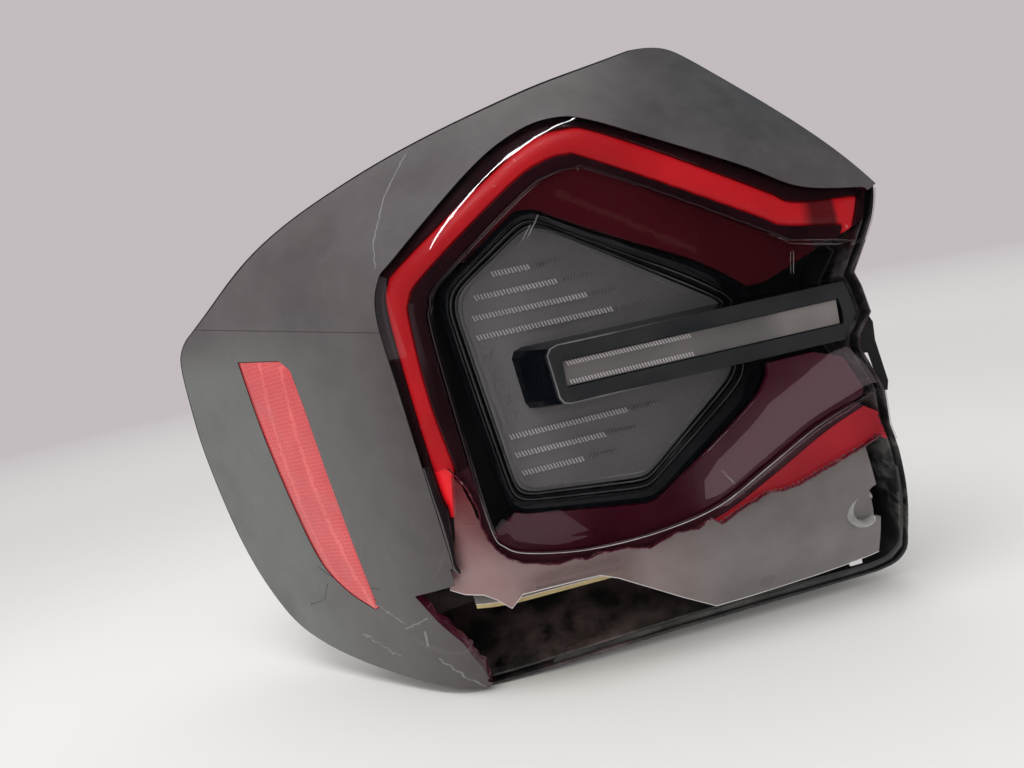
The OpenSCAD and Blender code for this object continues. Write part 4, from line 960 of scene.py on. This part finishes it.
def surround_point(depth):
    def place(angle, j):
        marks = side_reach(angle)
        k, t = divmod(j, 6)
        if k == 3:
            return on_face(angle, marks[3], depth)
        return on_face(angle, marks[k] + (marks[k + 1] - marks[k]) * t / 6, depth)
    return place


def cut_reflector(bm):
    """Takes the reflector's field out of a surround grid."""
    gone = []
    for face in bm.faces:
        centre = face.calc_center_median() / MM
        angle = bearing((centre.x, centre.z), BAND_START)
        _, side, outer, _ = side_reach(angle)
        reach = math.dist((centre.x, centre.z), HUB)
        if REFLECTOR_START < angle < REFLECTOR_END and side < reach < outer:
            gone.append(face)
    bmesh.ops.delete(bm, geom=gone, context="FACES")


def build_skins():
    for name, start, end in (("upper_skin", SKIN_START, SEAM - 0.05),
                             ("lower_skin", SEAM + 0.05, FRAGMENT_END)):
        bm = laid_grid(stations(start, end), 19, surround_point(-SKIN_WALL))
        if name == "lower_skin":
            cut_reflector(bm)
        thicken(bm, SKIN_WALL)
        piece(f"{name}_film", bm, "skin_brown" if name == "upper_skin" else "skin_grey", name,
              "skin", bevel=0.15)


def build_surround():
    """The crimson wall of the lens under the skins, with its tongue."""
    def place(angle, j):
        if j == 19:
            return on_face(angle, lens_edge(angle), LENS_WALL + 5)
        return surround_point(0.0)(angle, j)
    bm = laid_grid(stations(SKIN_START, FRAGMENT_END), 20, place)
    cut_reflector(bm)
    thicken(bm, LENS_WALL)
    piece("lens_surround", bm, "lens_crimson", "outer_lens", "crimson")


def build_reflector():
    def place(angle, j):
        _, side, outer, _ = side_reach(angle)
        edge = min(j, 10 - j) == 0
        return on_face(angle, side + 0.2 + (outer - side - 0.4) * j / 10, 0.5 if edge else -0.2)
    bm = laid_grid(stations(REFLECTOR_START + 0.1, REFLECTOR_END - 0.1), 11, place)
    thicken(bm, 3)
    piece("prism_reflector", bm, "reflector_red", "side_reflector", "reflector")


# ---------------------------------------------------------------- light band
FRAME_END = 208.0
BAND_TEAR = 198.0
FOOT_FLANGE = (236.0, 328.0)
LOWER_BAND = (271.0, 328.0)


def band_section(angle):
    o, i = band_outer(angle), band_inner(angle)
    i += (o - i - 3) * max(angle - BAND_TEAR, 0) / (FRAME_END - BAND_TEAR)
    o, i = o - 0.3, i + 0.3
    edge = min(2.2, (o - i) / 3)
    floor = FRAME_FRONT + CHANNEL_DEPTH - 0.3
    rows = [(i, floor), (i, FRAME_FRONT + 2.2), (i + edge / 3, FRAME_FRONT + 1.1),
            (i + edge, FRAME_FRONT + 0.5), ((i + o) / 2, FRAME_FRONT + 0.1),
            (o - edge, FRAME_FRONT + 0.5), (o - edge / 3, FRAME_FRONT + 1.1),
            (o, FRAME_FRONT + 2.2), (o, floor)]
    return [on_face(angle, r, d) for r, d in rows]


def foot_line(angle):
    return BROKEN.at(angle) - 0.8 if angle < BREAK_END else open_edge(angle)


def flange_edge(angle):
    i = CREASE.at(angle) + 1
    return max(min(foot_line(angle), i + 6), i + 0.5)


def foot_section(inner, outer, wall):
    def section(angle):
        i = inner(angle)
        o = max(outer(angle), i + 0.5)
        return [on_face(angle, i, FRAME_FRONT + wall), on_face(angle, i, FRAME_FRONT),
                on_face(angle, o, FRAME_FRONT), on_face(angle, o, FRAME_FRONT + wall)]
    return section


def ragged(angle):
    """A torn edge's small teeth, in millimetres."""
    return (0.9 * math.sin(2.3 * angle) * math.sin(5.9 * angle)
            + 0.6 * math.sin(11.3 * angle) + 0.4 * math.sin(23.7 * angle))


def frame_section(angle):
    w = CHANNEL_WALL
    o, i = band_outer(angle), band_inner(angle)
    c = min(CREASE.at(angle) + 1, i - w - 1)
    g = max(min(GLOSS.at(angle) - 0.5, open_edge(angle)), o + w + 0.5)
    floor = FRAME_FRONT + CHANNEL_DEPTH
    rows = [(c, FRAME_FRONT), (i - 0.6, FRAME_FRONT), (i, FRAME_FRONT + 0.6), (i, floor),
            (o, floor), (o, FRAME_FRONT + 0.6), (o + 0.6, FRAME_FRONT), (g, FRAME_FRONT),
            (g, FRAME_FRONT + w), (o + w, FRAME_FRONT + w), (o + w, floor + w),
            (i - w, floor + w), (i - w, FRAME_FRONT + w), (c, FRAME_FRONT + w)]
    return [on_face(angle, r, d) for r, d in rows]


def build_band():
    piece("light_guide", swept(stations(BAND_START, FRAME_END - 1), band_section), "band_red",
          "light_band", "band")
    piece("band_channel", swept(stations(BAND_START, FRAME_END), frame_section), "frame_maroon",
          "band_frame", "frame")
    flange = foot_section(lambda a: CREASE.at(a) + 1, flange_edge, CHANNEL_WALL)
    piece("foot_flange", swept(stations(*FOOT_FLANGE), flange), "frame_maroon", "band_frame",
          "ledge")
    guide = foot_section(lambda a: flange_edge(a) + 0.3, lambda a: foot_line(a) + ragged(a),
                         2 * CHANNEL_WALL)
    piece("foot_guide", swept(stations(*LOWER_BAND, step=0.4), guide), "band_red", "lower_band",
          "foot")


# ---------------------------------------------------------------- stop panels and bezel
STOP_FRONT = LENS_WALL + CREASE_STEP + 1.3


def stop_section(angle):
    o = min(CREASE.at(angle) + 0.7, open_edge(angle) - (6 if angle > 320 else 11))
    clear = 24.5 if angle > 180 else 17.5
    clear_of_fin = clear / max(abs(math.sin(math.radians(angle))), 0.1)
    i = min(max(OPTIC_EDGE.at(angle) + 10.2, clear_of_fin), o - 1)
    return [on_face(angle, i, STOP_FRONT + 3), on_face(angle, i, STOP_FRONT + 0.5),
            on_face(angle, i + 0.5, STOP_FRONT), on_face(angle, o, STOP_FRONT),
            on_face(angle, o, STOP_FRONT + 3)]


def build_stops():
    piece("upper_stop_panel", swept(stations(BAND_START, 150), stop_section), "stop_red",
          "upper_stop_lens", "stop")
    piece("lower_stop_panel", swept(stations(215, 341), stop_section), "stop_red",
          "lower_stop_lens", "low_stop")


FACE = -FACE_REACH
OPTIC_Y = FACE + 28
CARRIER_BACK = OPTIC_Y + 6
POSTS = [(15, 78), (96, 29), (68, -56), (-30, -79)]
CUP_AT = (129, -116)
FIN_AXIS = -1.5
FIN_FRONT = FACE + 7
TOOTH = 1.6


def build_bezel():
    """Gloss ring that falls from its lip to the optic, with two fine ridges at its foot whose tops
    carry pale painted highlight lines.
    """
    def section(angle):
        r = OPTIC_LINE.at(angle)
        rows = [(r + 0.3, OPTIC_Y + 2.9), (r, OPTIC_Y - 1.4), (r + 0.4, OPTIC_Y - 2.2),
                (r + 1.3, OPTIC_Y - 2.2), (r + 1.7, OPTIC_Y - 1.6), (r + 3.2, OPTIC_Y - 4.6),
                (r + 3.6, OPTIC_Y - 5.8), (r + 4.3, OPTIC_Y - 5.8), (r + 4.7, OPTIC_Y - 5.2),
                (r + 7.2, FACE + 12.4), (r + 8.2, FACE + 12), (r + 9.8, FACE + 12),
                (r + 10, FACE + 12.4), (r + 10, FACE + 14), (r + 4, OPTIC_Y + 3)]
        return [upright(angle, reach, y) for reach, y in rows]

    bm = swept([0.75 * step for step in range(481)], section)
    # The fin passes through the ring at its inboard side.
    low, high = FIN_AXIS - 16.6, FIN_AXIS + 16.6
    cut_inside(bm, [(20, low), (200, low), (200, high), (20, high)],
               lambda c: c.x > 50 and low - 8 < c.z < high + 8)
    cut_inside(bm, [(-52, low), (20, low), (20, high), (-52, high)],
               lambda c: -60 < c.x < 20 and low - 8 < c.z < high + 8)
    # The ridge tops take the pale lip material, as painted highlight lines.
    for face in bm.faces:
        heights = [v.co.y / MM - OPTIC_Y for v in face.verts]
        if any(max(abs(h + lip) for h in heights) < 0.05 for lip in (2.2, 5.8)):
            face.material_index = 1
    piece("bezel_ring", bm, "gloss_black", "inner_bezel", "gloss", "lip", smooth=28)


def slanted(bm, x, y, z, width, depth, height, lean):
    """Adds a small block that leans sideways, by its centre, in millimetres."""
    shear = Matrix.Identity(4)
    shear[0][2] = lean
    place = (Matrix.Translation(Vector((x, y, z)) * MM) @ shear
             @ Matrix.Diagonal((width * MM, depth * MM, height * MM, 1)))
    bmesh.ops.create_cube(bm, size=1, matrix=place)


def build_optic():
    def place(angle, j):
        r = (OPTIC_LINE.at(angle) - 0.4) * j / 16
        return upright(angle, r, OPTIC_Y)
    bm = laid_grid([a * 360 / 240 for a in range(241)], 17, place)
    merge(bm)
    thicken(bm, 3)
    for k in range(5):
        x, z = -64 + 1.4 * k, 15 - 9 * k
        box(bm, (x, OPTIC_Y - 1, z), (x + 3.4, OPTIC_Y + 0.5, z + 3.4))
        box(bm, (x + 4.4, OPTIC_Y - 0.4, z + 0.6), (x + 5.2, OPTIC_Y + 0.5, z + 3))
    piece("optic_plate", bm, "optic_grey", "centre_optic", "optic")

    # A fine ridge runs round just inside its border, paler as a painted highlight line.
    def ridge(angle):
        return [upright(angle, OPTIC_LINE.at(angle) + out, OPTIC_Y + deep)
                for out, deep in ((-3.6, 0), (-3.6, -0.7), (-2.9, -0.7), (-2.9, 0))]
    piece("optic_ridge", swept(range(361), ridge), "optic_grey", "centre_optic", "optic_edge")

    bm = bmesh.new()
    for k in range(5):
        x, z = -64 + 1.4 * k, 15 - 9 * k
        for at, wide, tall in ((0, 0.5, 3.6), (3.4, 0.5, 3.6), (1.7, 3.4, 0.45), (6, 0.5, 2.6)):
            up = 0 if tall < 1 else tall / 2
            slanted(bm, x + at, OPTIC_Y - 1.1, z + up, wide, 0.4, tall, 0)
    piece("port_edges", bm, "optic_grey", "centre_optic", "dim_teeth")

    bm = bmesh.new()
    rows = [(56, -50.5, -29), (45.7, -62, -15.5), (35.4, -65, -2), (25.1, -65, 11.5),
            (-30, -59, 8), (-40.3, -58, -6), (-50.6, -56.5, -20)]
    for z, start, end in rows:
        count = int((end - start) / 1.75)
        for k in range(count):
            x = start + 1.75 * k
            slanted(bm, x, OPTIC_Y - 0.6, z, 0.8, TOOTH, 2.6, -0.35)
            if k % 2 == 0:
                slanted(bm, x + 0.6, OPTIC_Y - 0.4, z - 1.4, 1.3, 0.9, 0.4, 0)
    piece("optic_teeth", bm, "optic_grey", "centre_optic", "teeth")

    # The rows run on, fainter, towards the middle, with dimmer painted glints.
    bm = bmesh.new()
    for z, start, end in rows:
        for k in range(9):
            slanted(bm, end + 1.5 + 1.7 * k, OPTIC_Y - 0.6, z, 0.5, TOOTH, 2.4 - 0.12 * k, -0.35)
    piece("faint_teeth", bm, "optic_grey", "centre_optic", "dim_teeth")


def matched(corners):
    """A closed outline with the same count of points on each side."""
    return straight(corners + corners[:1], 12)[:-1]


def build_fin():
    """The fin: a hull from its broad foot to its front, with the strip's slot in it."""
    front = [(-29, 15.5), (-33, 14.2), (-35, 11), (-33, -11.5), (-31.2, -14.6), (-27.5, -15.5),
             (127, -15.5), (133, -11.5), (138, -3), (132, 15.5)]
    foot = [(-44, 17), (-48.4, 15.6), (-50.3, 12), (-48, -12.5), (-46, -16), (-42, -17),
            (128.5, -17), (134.5, -12.5), (139.5, -3), (133.5, 17)]
    slot = [(-26.5, 7), (-27.6, 6.6), (-28, 5.5), (-28, -5.5), (-27.6, -6.6), (-26.5, -7),
            (126, -7), (127.6, -6.4), (128, 0), (126.5, 7)]
    lines = [(matched(foot), OPTIC_Y), (matched(front), FIN_FRONT),
             (matched(slot), FIN_FRONT), (matched(slot), FIN_FRONT + 4)]
    count = len(lines[0][0])

    def place(k, j):
        outline, y = lines[j]
        x, z = outline[k % count]
        return Vector((x, y, z + FIN_AXIS)) * MM
    bm = closed(laid_grid(range(count + 1), 4, place))
    piece("fin", bm, "gloss_black", "fin_body", "fin", smooth=25, bevel=0.7)

    def beaded(name, outline, y, wide):
        """A fine bead round an outline of the fin, with a painted highlight."""
        line = matched(outline)

        def bead(k):
            x, z = line[k % len(line)]
            away = Vector((x + 10, z)).normalized()
            return [Vector((x + away.x * out, y + deep, z + away.y * out + FIN_AXIS)) * MM
                    for out, deep in ((0, 0.3), (0, -0.12), (-wide, -0.12), (-wide, 0.3))]
        piece(name, swept(range(len(line) + 1), bead), "gloss_black", "fin_body", "fin_edge")
    beaded("fin_front_edge", front, FIN_FRONT, 0.7)
    beaded("fin_foot_edge", foot, OPTIC_Y - 0.4, 0.8)

    bm = bmesh.new()
    box(bm, (-27.6, FIN_FRONT + 1.5, FIN_AXIS - 6.6), (126, FIN_FRONT + 3.9, FIN_AXIS + 6.6))
    piece("fin_light_strip", bm, "strip_grey", "fin_strip", "strip", bevel=0.3)
    bm = bmesh.new()
    for z, lean in ((5.0, -0.5), (-4.7, -0.35)):
        for k in range(42):
            slanted(bm, -25 + 1.62 * k, FIN_FRONT + 1.4, FIN_AXIS + z, 0.75, 0.8, 2.3, lean)
    # The strip's teeth take the same painted glints.
    piece("fin_teeth", bm, "strip_grey", "fin_strip", "teeth")


# ---------------------------------------------------------------- foot
SHEET = [
    [(-94.8, -40), (-99.8, -76), (-108, -106)], [(-91.5, -45), (-95, -77), (-101, -108.5)],
    [(-87.9, -57), (-89, -79), (-91, -109.5)], [(-86.9, -64), (-84, -86), (-85, -113.5)],
    [(-82, -73), (-78, -120.5)], [(-75, -78), (-71, -113.2)], [(-66, -81), (-60, -113)],
    [(-48, -83), (-45, -113)], [(-30, -85), (-28, -113.3)], [(-18, -85), (-18, -118)],
    [(0, -85), (0, -130)], [(14, -85), (18, -142.5)], [(28, -83), (40, -157)],
    [(50, -76), (62, -156.5)], [(70, -66), (84, -155.5)], [(88, -57), (104, -154.5)],
    [(106, -50), (123, -153)], [(121, -49), (139, -151)], [(128, -49), (144, -150)]]
NOTCH = [
    (155, -101), (139.6, -102.1), (134.4, -103.8), (132.5, -105.5), (135.5, -121.7), (145, -126),
    (155, -127)]
SHEET_WALL = 1.8


def sheet_y(x, z):
    deep = soft_max((FACE + 16, face_y(x, z) + LENS_WALL + 3), 3)
    flap = min(max((z + 78) / 14, 0), 1) if x < 0 else 0
    return deep + (face_y(x, z) + 1.4 - deep) * flap


def sheet_lines():
    """The lines across the sheet, each as a run of fine points from top to bottom."""
    lines = []
    for edge in SHEET:
        x, z = edge[0]
        angle = bearing((x, z), BAND_START)
        least = min(CREASE.at(angle) - 0.6, open_edge(angle) - 9.6) + 1.6
        x, z = spot(angle, max(math.dist((x, z), HUB), least))
        halves = [(x, z)] + edge[1:] if len(edge) == 3 else [
            (x, z), ((x + edge[1][0]) / 2, (z + edge[1][1]) / 2), edge[1]]
        lines.append(straight(halves, 12))
    return lines


def build_sheet():
    lines = sheet_lines()
    steps = 6

    def place(k, j):
        i, t = divmod(k, steps)
        a, b = lines[i][j], lines[min(i + 1, len(lines) - 1)][j]
        x, z = (p + (q - p) * t / steps for p, q in zip(a, b))
        return Vector((x, sheet_y(x, z), z)) * MM
    bm = laid_grid(list(range(steps * (len(lines) - 1) + 1)), 25, place)
    cut_inside(bm, NOTCH, lambda c: c.x > 125 and -135 < c.z < -95)
    thicken(bm, SHEET_WALL)
    piece("frosted_sheet", bm, "frosted", "lower_diffuser", "frosted", smooth=50, bevel=0.2)

    # Pale strip along the foot of the sheet where it is cut, a painted highlight
    def edge(point):
        x, z = point
        return [Vector((x, sheet_y(x, z) + 0.1 + back * (SHEET_WALL - 0.2), z - 0.1 + up)) * MM
                for up, back in ((-0.35, 0), (-0.35, 1), (0.1, 1), (0.1, 0))]
    piece("sheet_cut_edge", swept(straight([line[-1] for line in lines], 4), edge), "frosted",
          "lower_diffuser", "cut_edge_highlight")

    # Cup round the screw, open where the sheet is cut out beside it
    bm = bmesh.new()
    y = sheet_y(*CUP_AT)
    turned(bm, CUP_AT, [(11, y + 0.4), (10, y - 0.6), (9, y - 1.6), (8.2, y - 1.8),
                        (7.4, y - 1.4), (6.2, y + 3), (5.4, y + 9), (4.4, y + 10.2),
                        (0.01, y + 10.2)])
    bmesh.ops.bisect_plane(bm, geom=bm.verts[:] + bm.edges[:] + bm.faces[:],
                           plane_co=Vector((134, 0, 0)) * MM, plane_no=(1, 0, 0),
                           clear_outer=True)
    thicken(bm, 1.2)
    piece("screw_cup", bm, "frosted", "lower_diffuser", "cup", smooth=60)
    bm = bmesh.new()
    turned(bm, (CUP_AT[0] + 3.5, CUP_AT[1] + 23),
           [(2.6, y - 1.6), (3.2, y - 2.4), (3.8, y - 1.6), (4.2, y + 0.2)], 32)
    piece("sheet_boss", bm, "frosted", "lower_diffuser", "cup")
    # The tab takes the same pale painted highlight.
    bm = bmesh.new()
    box(bm, (125, sheet_y(125, -152.5), -155), (133, sheet_y(125, -152.5) + 1.8, -151.5))
    piece("sheet_tab", bm, "frosted", "lower_diffuser", "cut_edge_highlight", bevel=0.2)


def build_bar():
    """Light bar: pale on its top, amber along its front edge."""
    top, back = -116.8, FACE + 72

    def front(x):
        return max(face_y(x, top) + LENS_WALL + 7, FACE + 27)
    xs = [-96 + 204 * k / 68 for k in range(69)]
    for name, z0, z1, finish in (("bar_edge", top - 2.4, top - 0.25, "amber"),
                                 ("bar_top", top - 0.25, top, "bowl")):
        def section(x, z0=z0, z1=z1):
            rear = back - (14 - min(x + 96, 14)) * 0.5
            return [Vector((x, y, z)) * MM for y, z in
                    ((front(x), z0), (front(x), z1), (rear, z1), (rear, z0))]
        piece(name, swept(xs, section), "amber", "amber_light_bar", finish)


def build_broken_edge():
    """Thick crimson section where the lens snapped, below the reflector."""
    line = straight([(-131, -107.5), (-128, -109), (-118, -125), (-107, -138), (-104, -146),
                     (-99, -157), (-98, -172)], 5)

    def section(k):
        x, z = line[k]
        wide = 3.6 + 0.7 * math.sin(1.9 * k) + 0.4 * math.sin(5.3 * k)
        wide *= min(1, 0.35 + k / 5)
        lean = math.radians(38)
        return [Vector((x + out * math.cos(lean), face_y(x, z) + depth,
                        z + out * math.sin(lean))) * MM
                for out, depth in ((0, 0.35), (wide * 0.55, 1.7), (wide, LENS_WALL + 0.4),
                                   (wide - 1.2, LENS_WALL + 2.2), (-1, LENS_WALL + 0.8),
                                   (-1, 0.5))]
    piece("snapped_edge", swept(range(len(line)), section), "lens_crimson", "outer_lens",
          "snapped", smooth=25)


def build_housing():
    """Smooth housing: the back, the grooved flange and the inside in one closed skin."""
    ridge, groove_w, wall = 2.0, 3.6, 3.0

    def back_y(x, z):
        return soft_max((BACK_PLANE, face_y(x, z) + 30.0), 1)

    def on_back(angle, reach, lift):
        x, z = spot(angle, reach)
        return Vector((x, back_y(x, z) - lift, z)) * MM

    def section(angle):
        r = RIM.at(angle)
        groove, inside = r - ridge, r - ridge - groove_w
        lip = inside - ridge
        x, z = spot(angle, r)
        top = face_y(x, z) + LENS_WALL + 1
        corner = r - 10 - 0.35 * max(BACK_PLANE - (face_y(x, z) + 12), 0)
        outer = [on_back(angle, s * corner, 0) for s in (0, 0.4, 0.7, 0.86)]
        outer += [on_back(angle, corner, 0), upright(angle, lip - 1, top + 14),
                  upright(angle, r, top + 12), upright(angle, r, top + 0.4),
                  upright(angle, r - 0.4, top), upright(angle, groove + 0.3, top),
                  upright(angle, groove, top + 0.3), upright(angle, groove, top + 7),
                  upright(angle, inside, top + 7), upright(angle, inside, top + 1.3),
                  upright(angle, inside - 0.3, top + 1), upright(angle, lip + 0.3, top + 1),
                  upright(angle, lip, top + 1.3), upright(angle, lip - wall, top + 12)]
        return outer + [on_back(angle, corner - wall, wall)] + [
            on_back(angle, s * corner, wall) for s in (0.86, 0.7, 0.4, 0)]

    angles = stations(BAND_START, BAND_START + 360)
    table = {a: section(a) for a in angles}
    bm = laid_grid(angles, len(table[angles[0]]), lambda a, j: table[a][j])
    merge(bm)
    for at in POSTS:
        drum(bm, at, CARRIER_BACK + 0.1, 5, -8 - CARRIER_BACK)
    for at in ((-52, -104), (30, -104)):
        drum(bm, at, -65.1, 4, 57)
    drum(bm, CUP_AT, sheet_y(*CUP_AT) + 12, 4.5, -20 - sheet_y(*CUP_AT))
    for side in (-44, 44):
        box(bm, (-65, -6.5, side - 1), (65, -3.5, side + 1))
    piece("housing_shell", bm, "housing_black", "rear_housing", "housing", smooth=30)


# ---------------------------------------------------------------- scene
FLOOR = CAD_BOX[0][2]


def stage_card(name, material, place, columns=2):
    """A card for the floor or the lighting, laid out by place(k, j) in metres."""
    card = placed(name, laid_grid(range(columns), 2, place), material)
    return card


def pale_rays(kit):
    """1 for the rays that see the background: camera, glossy and transmission rays."""
    rays = kit.add("LightPath").outputs
    both = kit.maths("MAXIMUM", rays["Is Camera Ray"], rays["Is Glossy Ray"])
    return kit.maths("MAXIMUM", both, rays["Is Transmission Ray"])


BACKDROP = (0.545, 0.505, 0.525)


def build_stage():
    """A pale table that runs into the backdrop's colour far from the lamp."""
    f = Finish("pale table")
    cloud = f.span(f.noise(2, 3, 0.5), 0.3, 0.7)
    colour = f.mix(cloud, (0.93, 0.925, 0.905), (0.96, 0.955, 0.935))
    table = f.plastic(base_color=colour, roughness=0.8, specular_ior_level=0.2)
    away = f.add("VectorMath", {0: f.where}, operation="LENGTH").outputs["Value"]
    far = f.maths("MULTIPLY", f.span(away, 0.5, 1.6), pale_rays(f))
    tone = f.mix(f.span(away, 1.4, 3.9), (0.68, 0.67, 0.66), BACKDROP)
    card = f.add("Emission", {"Color": tone})
    mix = f.add("MixShader", {0: far, 1: table.outputs[0], 2: card.outputs[0]})
    stage_card("floor", f.done(mix), lambda k, j: (8 * k - 4, 8 * j - 4, FLOOR))


def build_world():
    world = bpy.data.worlds.new("studio")
    bpy.context.scene.world = world
    world.use_nodes = True
    kit = Finish.__new__(Finish)
    kit.tree = world.node_tree
    kit.tree.nodes.clear()
    light = kit.add("Background", {"Color": (1, 0.99, 0.99), "Strength": 0.62})
    pale = kit.add("Background", {"Color": BACKDROP})
    mix = kit.add("MixShader", {0: pale_rays(kit), 1: light.outputs[0], 2: pale.outputs[0]})
    out = kit.add("OutputWorld")
    kit.tree.links.new(mix.outputs[0], out.inputs["Surface"])


def area_light(name, place, target, size, power):
    """A soft lamp whose own shape doesn't show in gloss."""
    data = bpy.data.lights.new(name, "AREA")
    data.shape = "RECTANGLE"
    data.size, data.size_y = size
    data.energy = power
    lamp = bpy.data.objects.new(name, data)
    lamp.location = place
    lamp.rotation_euler = (Vector(target) - Vector(place)).to_track_quat("-Z", "Y").to_euler()
    lamp.visible_glossy = False
    bpy.context.scene.collection.objects.link(lamp)


def build_lights():
    area_light("overhead", (-0.35, -0.5, 1.1), (0, 0, 0), (0.9, 0.5), 7)
    area_light("side", (-1.2, -0.9, 0.4), (-0.1, 0, 0), (0.6, 0.8), 2.5)


def gloss_card(*details):
    """A card that only the gloss on the lamp sees."""
    card = stage_card(*details)
    for kind in ("camera", "diffuse", "transmission", "volume_scatter", "shadow"):
        setattr(card, "visible_" + kind, False)


def build_cards():
    """Dark cards and thin bright strips before the lamp, seen only in its gloss."""
    f = Finish("dark card")
    shade = f.mix(f.noise(3, 2, 0.5), (0.010, 0.011, 0.013), (0.018, 0.019, 0.021))
    dark = f.done(f.plastic(base_color=shade, roughness=0.9))
    low, left, right, front, back, top = FLOOR + 0.001, -1.8, 1.5, -1.05, -0.135, 1.0

    def across(k):
        return left + (right - left) * k
    gloss_card("card_front", dark, lambda k, j: (across(k), front, low + (top - low) * j))
    gloss_card("card_floor", dark, lambda k, j: (across(k), front + (back - front) * j, low))
    gloss_card("card_top", dark, lambda k, j: (across(k), front + (0.3 - front) * j, top))

    def bright(name, colour, strength, pairs, height):
        f = Finish(name)
        tint = f.mix(f.noise(9, 2, 0.5), colour, tuple(0.93 * c for c in colour))
        glow = f.done(f.add("Emission", {"Color": tint, "Strength": strength}))
        gloss_card(name, glow, lambda k, j: (*pairs[k][j], height), len(pairs))

    ribbon = [(-0.447, -0.83), (-0.379, -0.624), (-0.303, -0.413), (-0.237, -0.291),
              (-0.178, -0.261), (-0.121, -0.29), (0.004, -0.30), (0.139, -0.279),
              (0.269, -0.233)]
    half = [0.004, 0.016, 0.02, 0.02, 0.018, 0.013, 0.009, 0.007, 0.003]
    bright("strip_light", (1, 1, 1), 26.0,
           [((x - h, y - h), (x + h, y + h)) for (x, y), h in zip(ribbon, half)], 0.7)
    bright("low_card", (1, 0.80, 0.86), 1.3,
           [((0.078, -0.240), (0.080, -0.232)), ((0.103, -0.313), (0.091, -0.228)),
            ((0.141, -0.375), (0.158, -0.295)), ((0.225, -0.480), (0.245, -0.383)),
            ((0.308, -0.588), (0.366, -0.486)), ((0.450, -0.728), (0.442, -0.540)),
            ((0.586, -0.864), (0.579, -0.746)), ((0.662, -0.903), (0.660, -0.900))],
           low + 0.004)
    bright("corner_card", (1, 0.80, 0.86), 0.7,
           [((-0.104, -0.353), (-0.121, -0.261)), ((-0.060, -0.342), (-0.085, -0.256)),
            ((-0.029, -0.334), (-0.044, -0.249)), ((-0.013, -0.254), (-0.014, -0.252))],
           low + 0.004)


def build_camera():
    """The photograph's angle: from slightly outboard and above, rolled by twelve degrees."""
    yaw, pitch, roll = (math.radians(v) for v in (8, 6, 12))
    ahead = Vector((math.sin(yaw) * math.cos(pitch), math.cos(yaw) * math.cos(pitch),
                    -math.sin(pitch)))
    level = ahead.cross(Vector((0, 0, 1))).normalized()
    upward = level.cross(ahead)
    right = math.cos(roll) * level - math.sin(roll) * upward
    up = math.sin(roll) * level + math.cos(roll) * upward
    focal, anchor, depth = 786.0, (620 - 512, 360 - 384), 0.396
    place = -(anchor[0] / focal * right - anchor[1] / focal * up + ahead) * depth
    place.y -= FACE_REACH * MM
    data = bpy.data.cameras.new("camera")
    data.sensor_width = 36
    data.lens = focal / 1024 * 36
    data.clip_start = 0.01
    camera = bpy.data.objects.new("camera", data)
    camera.matrix_world = Matrix.Translation(place) @ Matrix(
        (right, up, -ahead)).transposed().to_4x4()
    bpy.context.scene.collection.objects.link(camera)
    bpy.context.scene.camera = camera


for build in (
        build_camera, build_stage, build_world, build_lights, build_cards, build_window,
        build_lens_edges, build_border, build_surround, build_skins, build_reflector,
        build_band, build_stops, build_bezel, build_optic, build_fin, build_sheet, build_bar,
        build_broken_edge, build_housing):
    build()
bpy.context.scene.view_settings.view_transform = "Standard"

bpy.context.view_layer.update()
